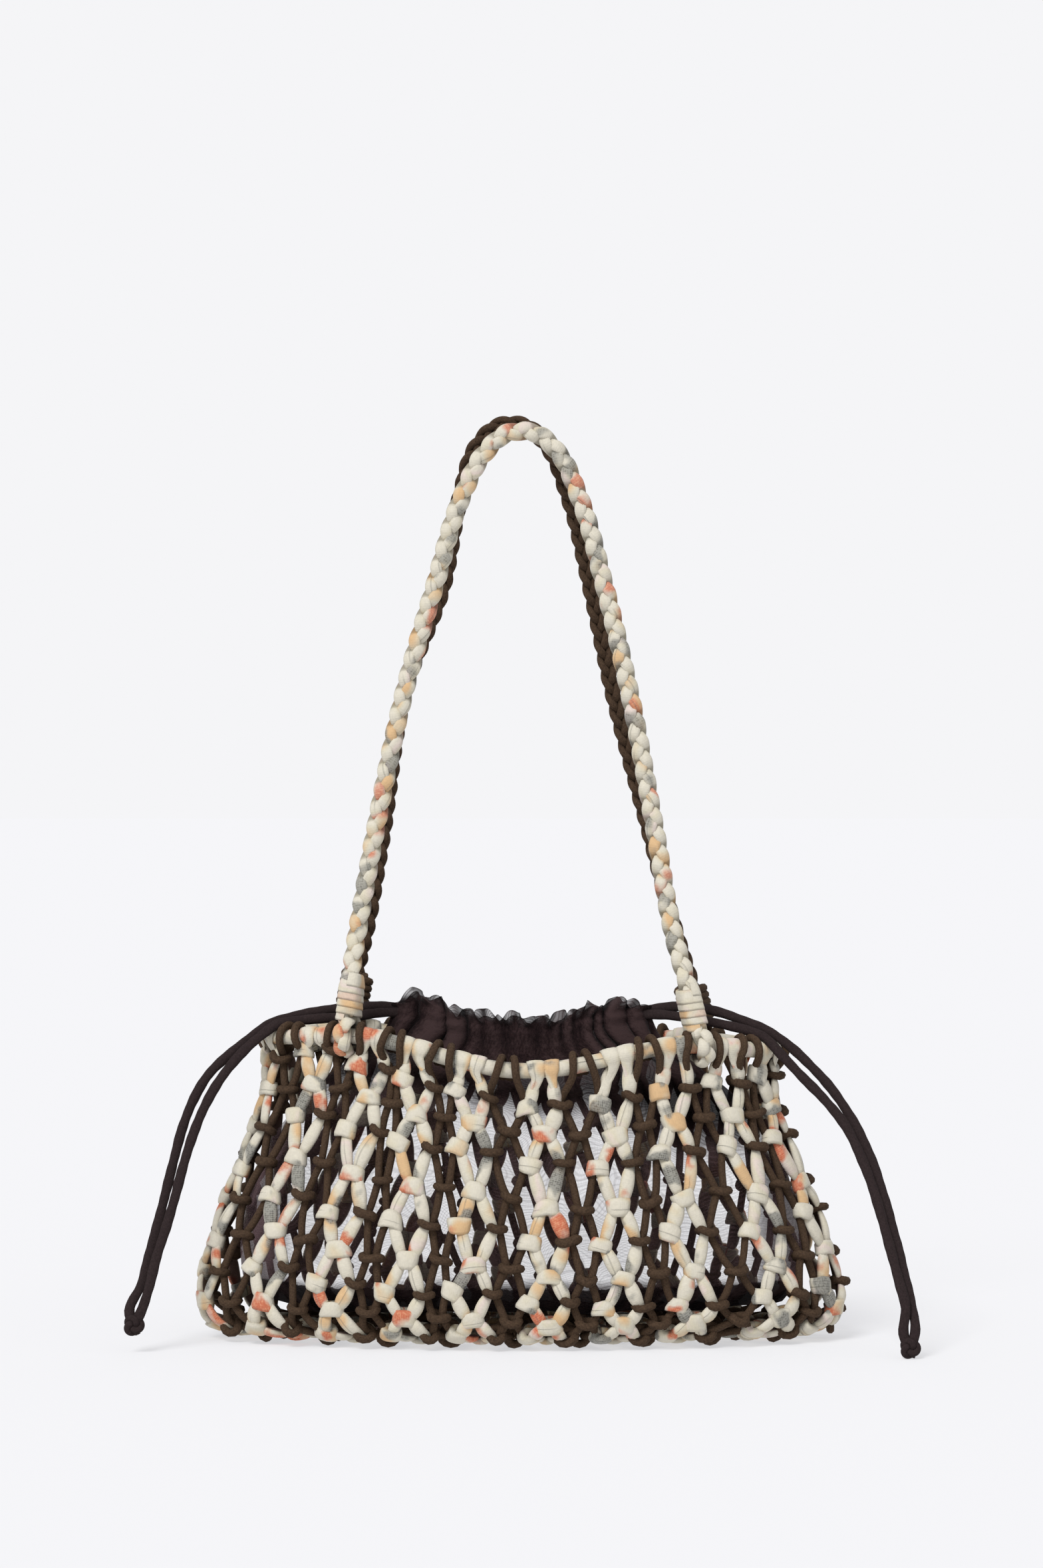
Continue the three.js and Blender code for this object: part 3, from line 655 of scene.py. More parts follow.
def bump(tree, shader, height, distance, strength):
    node = add_node(tree, "ShaderNodeBump", {"Height": height, "Distance": distance, "Strength": strength})
    tree.links.new(node.outputs[0], shader.inputs["Normal"])


CREAM = (0.625, 0.583, 0.482)
IVORY = (0.607, 0.557, 0.427)
BLUSH = (0.66, 0.56, 0.50)
PEACH = (0.62, 0.415, 0.222)
CORAL = (0.50, 0.105, 0.05)
LIGHT_CORAL = (0.63, 0.30, 0.17)
GREY = (0.27, 0.265, 0.235)
INK = (0.03, 0.03, 0.027)
THREAD = (0.25, 0.24, 0.2)
# Painted shade: the colours laid into creases, and into the cords' side towards the bag's inside.
CREASE_SHADE = (0.42, 0.40, 0.36)
INSIDE_SHADE = (0.2, 0.13, 0.125)
RIB_PITCH = 0.95 * MM
CROSS_RIB_PITCH = 1.1 * MM
SEAM_DRIFT = 5 * MM
# how fine the noise is: the cloth's ground, patches, grain and creases, and the seam's way and breaks
GROUND_SCALE = 34
PATCH_SCALE = 32
GRAIN_SCALE = 900
CREASE_SCALE = 260
DRIFT_SCALE = 30
BREAK_SCALE = 24


def pale_cloth(name, seam_place, seam_strength, inner_shade=0.0, print_share=1.0):
    """Pale stretch cloth with soft printed patches; the print follows the strip. Creases get painted shade,
    and so does the side towards the bag's inside, as much as inner_shade says.
    """
    material, tree, shader = new_finish(name, 0.8, 0.25)
    strip = attribute(tree, "strip").outputs["Vector"]
    parts = parted(tree, strip)
    ground = ramp(tree, noise(tree, strip, GROUND_SCALE, 2.5), (
        (0.39, PEACH), (0.45, IVORY), (0.475, CREAM), (0.53, CREAM), (0.58, IVORY), (0.62, BLUSH),
        (0.66, CREAM)))
    aside = add_node(tree, "ShaderNodeVectorMath", {0: strip, 1: (7.0, 3.0, 5.0)}).outputs[0]
    patch = noise(tree, aside, PATCH_SCALE, 3.5, 0.52)
    ribs = ripple(tree, parts[0], RIB_PITCH)
    cross_ribs = ripple(tree, parts[1], CROSS_RIB_PITCH)
    grain = noise(tree, strip, GRAIN_SCALE, 3.0)
    worn = calc(tree, "MULTIPLY_ADD", ribs, 0.3, spread(tree, grain, 0.4, 0.75, 0.1, 0.7))
    coral = blend(tree, worn, CORAL, LIGHT_CORAL)
    checks = calc(tree, "MULTIPLY_ADD", ribs, 0.6, calc(tree, "MULTIPLY", cross_ribs, 0.4))
    dots = calc(tree, "MULTIPLY", checks, spread(tree, grain, 0.38, 0.62))
    ink = blend(tree, dots, GREY, INK)
    with_coral = blend(tree, spread(tree, patch, 0.568, 0.63, 0.0, print_share), ground, coral)
    printed = blend(tree, spread(tree, patch, 0.45, 0.40, 0.0, 0.9 * print_share), with_coral, ink)
    fine_shade = ramp(tree, grain, ((0.3, (0.9, 0.9, 0.9)), (0.7, (1, 1, 1))))
    shade = blend(tree, 1.0, printed, fine_shade, "MULTIPLY")
    wander = noise(tree, strip, DRIFT_SCALE, 0.0)
    drift = calc(tree, "MULTIPLY_ADD", wander, SEAM_DRIFT, seam_place - SEAM_DRIFT / 2)
    off_seam = calc(tree, "ABSOLUTE", calc(tree, "SUBTRACT", parts[1], drift))
    here_and_there = spread(tree, noise(tree, aside, BREAK_SCALE, 0.0), 0.54, 0.6)
    shown = calc(tree, "MULTIPLY", spread(tree, parts[2], 0.0, 0.4 * MM), here_and_there)
    seam = calc(tree, "MULTIPLY", spread(tree, off_seam, 0.36 * MM, 0.1 * MM), shown)
    stitched = blend(tree, calc(tree, "MULTIPLY", seam, seam_strength), shade, THREAD)
    # Painted shade in the creases at knots and where strands run under others.
    tuck = attribute(tree, "tuck").outputs["Fac"]
    crease_shaded = blend(tree, tuck, stitched, CREASE_SHADE, "MULTIPLY")
    # Painted shade on the side of the cord towards the bag's inside, as much as inner_shade says.
    inner = calc(tree, "MULTIPLY", spread(tree, parts[2], -0.3 * MM, -1.3 * MM), inner_shade)
    shaded = blend(tree, inner, crease_shaded, INSIDE_SHADE, "MULTIPLY")
    tree.links.new(shaded, shader.inputs["Base Color"])
    shader.inputs["Sheen Weight"].default_value = 0.12
    shader.inputs["Sheen Roughness"].default_value = 0.5
    creases = noise(tree, strip, CREASE_SCALE, 2.0)
    weave = calc(tree, "MULTIPLY_ADD", grain, 0.3, calc(tree, "MULTIPLY", ribs, 0.08))
    relief = calc(tree, "MULTIPLY_ADD", creases, 0.9, weave)
    bump(tree, shader, calc(tree, "SUBTRACT", relief, calc(tree, "MULTIPLY", seam, 0.8)), 0.6 * MM, 0.7)
    return material


CORD_LIT = (0.075, 0.0465, 0.0282)
CORD_SHADE = (0.0146, 0.008, 0.0053)
STRING_LIT = (0.03, 0.02, 0.02)
STRING_SHADE = (0.012, 0.008, 0.008)
STRANDS = 7.0


def dark_cord_finish(name, lit, shade, plait, radius, fluff):
    """Braided dark cord: fine crossing strands, with pale fuzz."""
    material, tree, shader = new_finish(name, 0.88, 0.12)
    strip = attribute(tree, "strip").outputs["Vector"]
    parts = parted(tree, strip)
    angle = calc(tree, "ARCTAN2", parts[2], parts[1])
    along = calc(tree, "MULTIPLY", parts[0], 2 * math.pi / plait)
    turns = calc(tree, "MULTIPLY", angle, STRANDS)
    left = calc(tree, "SINE", calc(tree, "ADD", along, turns))
    right = calc(tree, "SINE", calc(tree, "SUBTRACT", along, turns))
    woven = calc(tree, "MULTIPLY_ADD", calc(tree, "MAXIMUM", left, right), 0.5, 0.5)
    fuzz = noise(tree, strip, 2.2 / radius, 4.0, 0.7)
    tone = calc(tree, "MULTIPLY_ADD", woven, 0.07, calc(tree, "MULTIPLY", fuzz, 1.1))
    middle = tuple(0.55 * a + 0.45 * b for a, b in zip(lit, shade))
    pale = tuple(1.7 * a for a in lit)
    colour = ramp(tree, tone, ((0.27, shade), (0.52, middle), (0.77, lit), (0.95, pale)))
    tree.links.new(colour, shader.inputs["Base Color"])
    shader.inputs["Sheen Weight"].default_value = fluff
    shader.inputs["Sheen Roughness"].default_value = 0.4
    shader.inputs["Sheen Tint"].default_value = (*pale, 1)
    bump(tree, shader, calc(tree, "MULTIPLY_ADD", woven, 0.3, fuzz), 0.2 * MM, 0.7)
    return material


# The sheer cloth's colour, painted lighter than the close cloth for the light the veil catches.
LIT_HAZE = (0.15, 0.098, 0.105)
# The close cloth's colours, from painted shade in fold grooves to a painted highlight on fold crests;
# mottling moves along them too.
CLOSE_DARK = (0.005, 0.003, 0.0033)
CLOSE_MIDDLE = (0.0165, 0.0094, 0.0098)
CLOSE_LIT = (0.044, 0.027, 0.027)
WARP_PITCH = 1.9 * MM
WEFT_PITCH = 1.5 * MM
# how fine the noise is: the threads' bends, clouds, frayed seam, crepe, its grain and mottling
BEND_SCALE = 22
CLOUD_SCALE = 30
FRAY_SCALE = 240
CREPE_SCALE = 420
CREPE_GRAIN_SCALE = 1500
MOTTLE_SCALE = 75


def lining_finish():
    """Sheer cloth: how much it covers comes from the cover attribute, with fine wavy threads; its sheer
    parts are painted lighter for the light the veil catches, and its close parts get a painted highlight on
    fold crests and painted shade in the grooves.
    """
    material, tree, shader = new_finish("sheer_lining", 0.95, 0.04)
    where = attribute(tree, "cloth").outputs["Vector"]
    cover = attribute(tree, "cover").outputs["Fac"]
    bent = noise(tree, where, BEND_SCALE, 2.0)
    parts = parted(tree, where)
    warp = calc(tree, "MULTIPLY_ADD", bent, 60 * MM, parts[1])
    weft = calc(tree, "MULTIPLY_ADD", bent, -40 * MM, parts[0])
    weft_lines = calc(tree, "MULTIPLY", ripple(tree, weft, WEFT_PITCH), 0.7)
    lines = calc(tree, "MAXIMUM", ripple(tree, warp, WARP_PITCH), weft_lines)
    haze = attribute(tree, "haze").outputs["Fac"]
    thread_share = spread(tree, haze, 0, 1, 3.0, 1.0)
    threads = calc(tree, "MULTIPLY", spread(tree, lines, 0.5, 1.0, -0.05, 0.17), thread_share)
    cloudy = spread(tree, noise(tree, where, CLOUD_SCALE, 3.0), 0.35, 0.7, -0.05, 0.08)
    change = calc(tree, "ADD", threads, cloudy)
    room = calc(tree, "MULTIPLY", calc(tree, "SUBTRACT", 1.0, cover), change)
    above_seam = attribute(tree, "above_seam").outputs["Fac"]
    frayed = calc(tree, "MULTIPLY_ADD", noise(tree, where, FRAY_SCALE, 3.0, 0.6), 7 * MM, above_seam)
    seam = spread(tree, frayed, 3.9 * MM, 3.1 * MM, 0.0, 0.93)
    alpha = calc(tree, "MAXIMUM", calc(tree, "ADD", cover, room), seam)
    tree.links.new(calc(tree, "MINIMUM", alpha, 0.985), shader.inputs["Alpha"])
    grain = noise(tree, where, CREPE_GRAIN_SCALE, 2.0)
    crest = attribute(tree, "crest").outputs["Fac"]
    crepe = calc(tree, "MULTIPLY_ADD", noise(tree, where, CREPE_SCALE, 3.0, 0.6), 2.0, grain)
    fine_mottle = calc(tree, "MULTIPLY", crepe, 0.58)
    mottle = calc(tree, "MULTIPLY_ADD", noise(tree, where, MOTTLE_SCALE, 2.0), 0.7, fine_mottle)
    # Painted highlight on fold crests and painted shade in the grooves, with the crepe's real mottling.
    lit = calc(tree, "ADD", crest, calc(tree, "SUBTRACT", mottle, 1.185))
    close = ramp(tree, lit, ((0.1, CLOSE_DARK), (0.5, CLOSE_MIDDLE), (0.95, CLOSE_LIT)))
    colour = blend(tree, calc(tree, "MULTIPLY", haze, calc(tree, "SUBTRACT", 1.0, seam)), close, LIT_HAZE)
    tree.links.new(colour, shader.inputs["Base Color"])
    shader.inputs["Sheen Weight"].default_value = 0.05
    shader.inputs["Sheen Roughness"].default_value = 0.35
    bump(tree, shader, crepe, 0.35 * MM, 0.7)
    return material


PALE_CORD = pale_cloth("pale_printed_cord", seam_place=0.8 * MM, seam_strength=0.35, inner_shade=1.0)
PALE_BAND = pale_cloth("pale_printed_band", seam_place=0.9 * MM, seam_strength=0.3)
BINDING_CLOTH = pale_cloth("pale_binding_cloth", seam_place=60 * MM, seam_strength=0.0, print_share=0.3)
PALE_STRAP = pale_cloth("pale_strap_cloth", seam_place=1.2 * MM, seam_strength=0.3, print_share=0.85)
RIM_CLOTH = pale_cloth("pale_rim_cloth", seam_place=-1.2 * MM, seam_strength=0.6)
DARK_CORD = dark_cord_finish(
    "dark_braided_cord", CORD_LIT, CORD_SHADE, plait=1.4 * MM, radius=DARK_RADIUS, fluff=0.1)
STRING_CLOTH = dark_cord_finish(
    "drawstring_cloth", STRING_LIT, STRING_SHADE, plait=1.6 * MM, radius=2.2 * MM, fluff=0.04)
LINING_CLOTH = lining_finish()


# Camera, light and floor

camera_data = bpy.data.cameras.new("photo_camera")
camera_data.sensor_fit = "VERTICAL"
camera_data.sensor_height = SENSOR_HEIGHT
camera_data.lens = FOCAL_PIXELS * SENSOR_HEIGHT / PHOTO_HEIGHT
camera = bpy.data.objects.new("photo_camera", camera_data)
camera.location = CAMERA_PLACE
camera.rotation_euler = (math.pi / 2, 0, 0)
scene.collection.objects.link(camera)
scene.camera = camera

world = bpy.data.worlds.new("studio")
world.use_nodes = True
world_tree = world.node_tree
in_view = add_node(world_tree, "ShaderNodeLightPath").outputs["Is Camera Ray"]
room = blend(world_tree, in_view, ROOM_LIGHT, BACKDROP)
world_tree.links.new(room, world_tree.nodes["Background"].inputs["Color"])
scene.world = world
scene.view_settings.view_transform = "Standard"


def soft_light(name, strength, angle, tilt, turn):
    """A broad far light: tilt from straight above, turn round Z from the front."""
    data = bpy.data.lights.new(name, "SUN")
    data.energy = strength
    data.angle = math.radians(angle)
    lamp = bpy.data.objects.new(name, data)
    lamp.rotation_euler = (math.radians(tilt), 0, math.radians(turn))
    scene.collection.objects.link(lamp)


soft_light("key_light", strength=2.3, angle=24, tilt=42, turn=-28)
soft_light("fill_light", strength=0.2, angle=90, tilt=55, turn=40)

floor_mesh = bpy.data.meshes.new("studio_floor")
corners = [(x * FLOOR_REACH, y * FLOOR_REACH, 0) for x, y in ((-1, -1), (1, -1), (1, 1), (-1, 1))]
floor_mesh.from_pydata(corners, [], [(0, 1, 2, 3)])
floor = bpy.data.objects.new("studio_floor", floor_mesh)
floor_finish, _, floor_shader = new_finish("studio_paper", 1.0, 0.0)
floor_shader.inputs["Base Color"].default_value = (*FLOOR_COLOUR, 1)
floor_shader.inputs["Emission Color"].default_value = (1, 1, 1.025, 1)
floor_shader.inputs["Emission Strength"].default_value = FLOOR_GLOW
floor_mesh.materials.append(floor_finish)
scene.collection.objects.link(floor)


# Drawstrings and their knots

def drawstring_knot(side):
    """An overhand knot of both strings, with two short ends."""
    middle = np.array(KNOTS[side])
    turn = np.linspace(0, 2 * math.pi, 72, endpoint=False)
    ring = KNOT_RING + KNOT_WAVE * np.cos(3 * turn)
    loop = np.stack((ring * np.cos(2 * turn), KNOT_WAVE * np.sin(3 * turn), ring * np.sin(2 * turn)), axis=1)
    loop = (middle + loop) * MM
    face = square_to((0.3, -1, 0.2), ways_along(loop, True))
    lines = [{"points": loop, "face_way": face, "closed": True}]
    for lean in (-1, 1):
        tail = smooth_path((middle + KNOT_TAIL * (lean, 1, 1)) * MM, 0.5 * MM)
        tail[:, 2] = np.maximum(tail[:, 2], TAIL_CLEARANCE)
        face = square_to((0, -1, 0), ways_along(tail))
        lines.append({"points": tail, "face_way": face, "girth": TAIL_GIRTH})
    return swept(f"drawstring_{side}_knot", lines, KNOT_HALF_WIDTH, KNOT_HALF_THICKNESS, 8, STRING_CLOTH)


knot_pieces = {side: drawstring_knot(side) for side in KNOTS}
for side, piece in knot_pieces.items():
    ride_for(piece, f"drawstring_knot_{side}")

for place, route in ROUTES.items():
    path = smooth_path(np.array(route) * MM, DRAWSTRING_SPACING)
    steps = np.arange(len(path))
    wave = 1 + 0.05 * np.sin(0.55 * steps + dice.uniform(0, 6)) + 0.03 * np.sin(1.7 * steps)
    face = square_to((0.15, -1, 0.35), ways_along(path))
    string = swept(f"drawstring_{place}_cord", [{"points": path, "face_way": face, "girth": wave}],
                   DRAWSTRING_WIDTH / 2, DRAWSTRING_HALF_THICKNESS, 10, STRING_CLOTH)
    ride_for(string, f"drawstring_{place}")


# Rim

rim_columns = np.linspace(0, COLUMNS, RIM_STEPS, endpoint=False)
rim_place, _, rim_out, _ = rim_frame(rim_columns)
rim_line = {"points": rim_place, "face_way": rim_out, "closed": True,
            "girth": 0.97 + 0.03 * np.sin(6.3 * rim_columns)}
rim = swept("rim_core", [rim_line], RIM_RADIUS, RIM_RADIUS, 14, RIM_CLOTH)
ride_for(rim, "rim_hoop")


# Net

def rim_turn(column, radius, lean):
    """Places from behind and below the rim, over it and down its front."""
    place, along, out, up = rim_frame(column)
    angles = np.radians(LOOP_ANGLES)
    shift = lean * np.linspace(-1, 1, len(angles))[:, None] * along
    around = radius * (np.cos(angles)[:, None] * out + np.sin(angles)[:, None] * up)
    return place + around + shift, around / radius


def net_line(start_places, start_ways, start_girth, stations, spacing):
    """A cord from its turn round the rim down the net; stations are column, row, lift and girth."""
    stations = np.array(stations)
    place, _, _, out = net_frame(stations[:, 0], stations[:, 1])
    place = place + stations[:, 2:3] * out
    points = np.concatenate((start_places, place))
    ways = np.concatenate((start_ways, out))
    girth = np.concatenate((np.full(len(start_places), start_girth), stations[:, 3]))
    rows = smooth_path(np.column_stack((points, ways, girth)), spacing)
    along = ways_along(rows[:, :3])
    # Painted shade where the cord narrows into its knots.
    return {"points": rows[:, :3], "face_way": square_to(rows[:, 3:6], along), "girth": rows[:, 6],
            "tuck": 0.75 * smoothstep(0.9, 0.62, rows[:, 6]), "shift": dice.uniform(0, PRINT_REACH)}


def with_middles(stations, lift, girth):
    """Fuller stations between the knots."""
    full = [stations[0]]
    for before, after in zip(stations, stations[1:]):
        wander = dice.uniform(-WANDER, WANDER)
        swell = girth * dice.uniform(0.88, 1.12) if girth != 1 else girth
        for share, part in ((0.25, 0.72), (0.5, 1), (0.75, 0.72)):
            column = before[0] + share * (after[0] - before[0]) + part * wander
            row = before[1] + share * (after[1] - before[1])
            level = (1 - share) * before[2] + share * after[2] + part * lift
            low = (1 - share) * before[3] + share * after[3]
            full.append((column, row, level, low + part * (swell - low)))
        full.append(after)
    return full


knot_table = (COLUMNS, len(SPREAD_ROWS))
spread_jitter = dice.uniform(-SPREAD_JITTER, SPREAD_JITTER, knot_table)
closed_jitter = dice.uniform(-CLOSED_JITTER, CLOSED_JITTER, knot_table)
dark_jitter = dice.uniform(-CLOSED_JITTER, CLOSED_JITTER, knot_table)
closed_jitter[:, -1] = 0
dark_jitter[:, -1] = 0
sway = dice.uniform(-SWAY, SWAY, knot_table)


def spread_row(number, i):
    return SPREAD_ROWS[i] + spread_jitter[number % COLUMNS, i] + hang(number, SPREAD_ROWS[i])


def closed_row(number, i):
    return CLOSED_ROWS[i] + closed_jitter[number % COLUMNS, i] + hang(number, CLOSED_ROWS[i])


def dark_row(number, i):
    shift = (hang(number, CLOSED_ROWS[i]) + hang(number + 1, CLOSED_ROWS[i])) / 2
    return CLOSED_ROWS[i] + dark_jitter[number % COLUMNS, i] + shift


def pale_middle(number, row, i=None):
    moved = sway[number % COLUMNS, i] if i is not None and row < LAST_WALL_ROW else 0
    return chain_column(number, row) + moved


def dark_middle(number, row):
    return (pale_middle(number, row) + pale_middle(number + 1, row)) / 2


def foot_column(side, front):
    """Where a strap's left or right foot stands on the rim."""
    feet = FRONT_FEET if front else BACK_FEET
    from_left = feet[0] if side < 0 else COLUMNS / 2 - feet[1]
    return from_left if front else COLUMNS - from_left


FOOT_COLUMNS = [foot_column(side, front) for front in (True, False) for side in (-1, 1)]


def dark_rim_columns(number):
    """Where a dark pair turns over the rim; a pair at a strap foot parts round it."""
    middle = dark_middle(number, 0) + DARK_RIM_SHIFTS.get(number, 0)
    for foot in FOOT_COLUMNS:
        if abs(foot - middle) < 0.5:
            return foot - FOOT_HALF_GAP, foot + FOOT_HALF_GAP
    return middle - DARK_LOOP_HALF_GAP, middle + DARK_LOOP_HALF_GAP


def rim_loop(places, ways, first):
    """A flat strip over the rim, drawn to a point at the first knot below it."""
    place, _, _, out = net_frame(first[0], first[1])
    points = np.concatenate((places, [0.5 * places[-1] + 0.5 * place + CLOSED_LIFT * out]))
    facing = np.concatenate((ways, [out]))
    girth = np.array(LOOP_GIRTHS) * dice.uniform(0.88, 1.08)
    rows = smooth_path(np.column_stack((points, facing, girth)), LOOP_SPACING)
    return {"points": rows[:, :3], "face_way": square_to(rows[:, 3:6], ways_along(rows[:, :3])),
            "girth": rows[:, 6], "shift": dice.uniform(0, PRINT_REACH)}


loop_lines = []
pale_lines = []
dark_lines = []
for number in range(COLUMNS):
    for side in (-1, 1):
        top = pale_middle(number, 0)
        radius = RIM_RADIUS + 0.5 * LOOP_HALF_THICKNESS
        places, ways = rim_turn(top + side * LOOP_HALF_GAP, radius, -side * LOOP_LEAN)
        stations = []
        for i in range(len(SPREAD_ROWS)):
            row = spread_row(number, i)
            column = pale_middle(number, row, i) + side * PALE_SPREAD
            stations.append((column, row, SPREAD_LIFT, SPREAD_GIRTH))
            row = closed_row(number, i)
            column = pale_middle(number, row) + side * CLOSED_HALF
            stations.append((column, row, CLOSED_LIFT, CLOSED_GIRTH))
        loop_lines.append(rim_loop(places, ways, stations[0]))
        swell = dice.uniform(*PALE_SWELL)
        stations.insert(0, (top + side * UNDER_RIM_HALF_GAP, 0.02, CLOSED_LIFT, UNDER_RIM_GIRTH))
        stations = with_middles(stations, PALE_BELLY, swell)
        pale_lines.append(net_line(places[-1:], ways[-1:], HIDDEN_END_GIRTH, stations, PALE_SPACING))

        column = dark_rim_columns(number)[(side + 1) // 2]
        places, ways = rim_turn(column, RIM_RADIUS + DARK_RADIUS, side * DARK_LOOP_LEAN)
        stations = []
        beside = number if side < 0 else number + 1
        for i in range(len(SPREAD_ROWS)):
            row = spread_row(beside, i)
            stations.append((pale_middle(beside, row, i) - side * DARK_SPREAD, row, DARK_LIFT, 1.0))
            row = dark_row(number, i)
            stations.append((dark_middle(number, row) + side * CLOSED_HALF, row, 0.0, 1.0))
        dark_lines.append(net_line(places, ways, 1.0, with_middles(stations, 0.0, 1.0), DARK_SPACING))

rim_loops = swept("net_rim_loops", loop_lines, LOOP_HALF_WIDTH, LOOP_HALF_THICKNESS, 10, PALE_BAND)
pale_cords = swept("net_pale_cords", pale_lines, PALE_HALF_WIDTH, PALE_HALF_THICKNESS, 10, PALE_CORD)
dark_cords = swept("net_dark_cords", dark_lines, DARK_RADIUS, DARK_RADIUS, 8, DARK_CORD)


def ring_curve(angle, half_width, half_depth, squareness):
    """A rounded oblong: across, and outward."""
    def soft(value):
        return np.sign(value) * np.abs(value) ** squareness
    return half_width * soft(np.cos(angle)), half_depth * soft(np.sin(angle))


def ring_mesh(name, rings, strip):
    """A closed ring of sections; rings is steps by sides by three."""
    steps, sides = rings.shape[:2]
    faces = []
    for i in range(steps):
        for j in range(sides):
            k, m = (i + 1) % steps, (j + 1) % sides
            faces.append((i * sides + j, k * sides + j, k * sides + m, i * sides + m))
    mesh = bpy.data.meshes.new(name)
    mesh.from_pydata(rings.reshape(-1, 3).tolist(), [], faces)
    write_attributes(mesh, strip=strip.reshape(-1, 3))
    return mesh


def band_mesh(name, taper, arch, point, lean, corner):
    """A turn of pale cloth: wider above by taper, its top edge arched, its lower edge drawn to a point."""
    angle = -math.pi / 2 + np.arange(BAND_STEPS) / BAND_STEPS * 2 * math.pi
    front = np.maximum(0, np.sin(angle))
    heights, lifts, creases = np.array(BAND_SECTION).T
    rings = np.zeros((BAND_STEPS, len(heights), 3))
    strip = np.zeros_like(rings)
    for j, (height, lift) in enumerate(zip(heights, lifts * MM)):
        half_width = (BAND_HALF_WIDTH - BAND_INSET) * (1 + taper * height) + lift
        half_depth = BAND_HALF_DEPTH - BAND_INSET + lift
        across, out = ring_curve(angle, half_width, half_depth, BAND_SQUARENESS)
        raised = np.maximum(0, math.copysign(1, corner) * np.cos(angle)) ** 2 * (height > 0.6)
        across = across + corner * MM * raised
        level = height * BAND_HALF_HEIGHT * (1 + 0.12 * raised)
        level = level + (arch * front ** 2 if height > 0 else -point * front ** 3) * abs(height)
        rings[:, j] = np.stack((across, -level - lean * across, out), axis=1)
        strip[:, j, 0] = BAND_HALF_WIDTH * (angle + math.pi / 2)
        strip[:, j, 1:] = height * BAND_HALF_HEIGHT, lift
    mesh = ring_mesh(name, rings, strip)
    # Painted shade on the band's back half and along its creases, from the third column of BAND_SECTION.
    behind = smoothstep(-0.2, -0.7, np.sin(angle))[:, None]
    write_attributes(mesh, tuck=np.ravel(np.maximum(creases, 1.6 * behind)))
    return mesh


def dark_turn_mesh(name, half_width, half_depth, rise, bend):
    """A turn of dark cord, its ends bent down round the cords that it holds."""
    angle = -math.pi / 2 + np.arange(TURN_STEPS) / TURN_STEPS * 2 * math.pi
    across, out = ring_curve(angle, half_width, half_depth, TURN_SQUARENESS)
    line = np.stack((across, rise * np.sin(angle * 2) + bend * (across / half_width) ** 2, out), axis=1)
    outward = unit(np.stack((across / half_width ** 2, 0 * across, out / half_depth ** 2), axis=1))
    rings = np.zeros((TURN_STEPS, TURN_SIDES, 3))
    strip = np.zeros_like(rings)
    for j in range(TURN_SIDES):
        way = 2 * math.pi * j / TURN_SIDES
        side = math.cos(way) * outward + math.sin(way) * np.array((0, 1, 0))
        rings[:, j] = line + DARK_RADIUS * TURN_RADIUS_SHARE * side
        strip[:, j, 0] = half_width * angle
        strip[:, j, 1:] = DARK_RADIUS * math.cos(way), DARK_RADIUS * math.sin(way)
    return ring_mesh(name, rings, strip)


def shape_shelf(name, meshes):
    """Shapes kept aside for the knots to use."""
    shelf = bpy.data.collections.new(name)
    for mesh in meshes:
        shelf.objects.link(bpy.data.objects.new(mesh.name, mesh))
    return shelf


def clear_shelf(shelf):
    for thing in list(shelf.objects):
        mesh = thing.data
        bpy.data.objects.remove(thing)
        bpy.data.meshes.remove(mesh)
    bpy.data.collections.remove(shelf)


def knots(name, spots, meshes, material, seed):
    """Knots on the net; spots are column, row, tilt, width and height."""
    spots = np.array(spots)
    place, across, down, out = net_frame(spots[:, 0], spots[:, 1])
    tilt = spots[:, 2:3]
    mesh = bpy.data.meshes.new(name)
    mesh.from_pydata(place.tolist(), [], [])
    picks = dice.integers(0, len(meshes), len(spots)).astype(np.int32)
    write_attributes(mesh, outward=out, across=np.cos(tilt) * across + np.sin(tilt) * down, pick=picks,
                     size=np.column_stack((spots[:, 3:5], np.ones(len(spots)))))
    shelf = shape_shelf(name + "_shapes", meshes)
    piece = grow(name, mesh, KNOTS_ON_POINTS, {"Shapes": shelf, "Material": material, "Seed": seed})
    clear_shelf(shelf)
    return piece


def knot_spot(column, row, tilt, width=1.0):
    swell = dice.uniform(0.92, 1.1)
    turned = tilt + dice.normal(0, 0.13)
    return column, row, turned, width * swell, dice.uniform(0.88, 1.12)


pale_spots = []
dark_spots = []
for number in range(COLUMNS):
    for i in range(len(SPREAD_ROWS)):
        row = spread_row(number, i)
        middle = pale_middle(number, row, i)
        pale_spots.append(knot_spot(middle - BAND_SPREAD, row, tilt=0.17, width=0.97))
        dark_spots.append(knot_spot(middle + TURN_SPREAD, row, tilt=0.16))
        row = closed_row(number, i)
        pale_spots.append(knot_spot(pale_middle(number, row), row, tilt=0.0, width=1.04))
        row = dark_row(number, i)
        dark_spots.append(knot_spot(dark_middle(number, row), row, tilt=0.02))

band_meshes = [band_mesh(name, *sizes) for name, sizes in BANDS.items()]
turn_meshes = [dark_turn_mesh(name, *sizes) for name, sizes in TURNS.items()]
pale_knots = knots("net_pale_knots", pale_spots, band_meshes, PALE_BAND, 3)
dark_knots = knots("net_dark_knots", dark_spots, turn_meshes, DARK_CORD, 4)
for piece in (rim_loops, pale_cords, pale_knots):
    ride_for(piece, "net_body")
for piece in (dark_cords, dark_knots):
    ride_for(piece, "net_body")


# Straps and bindings

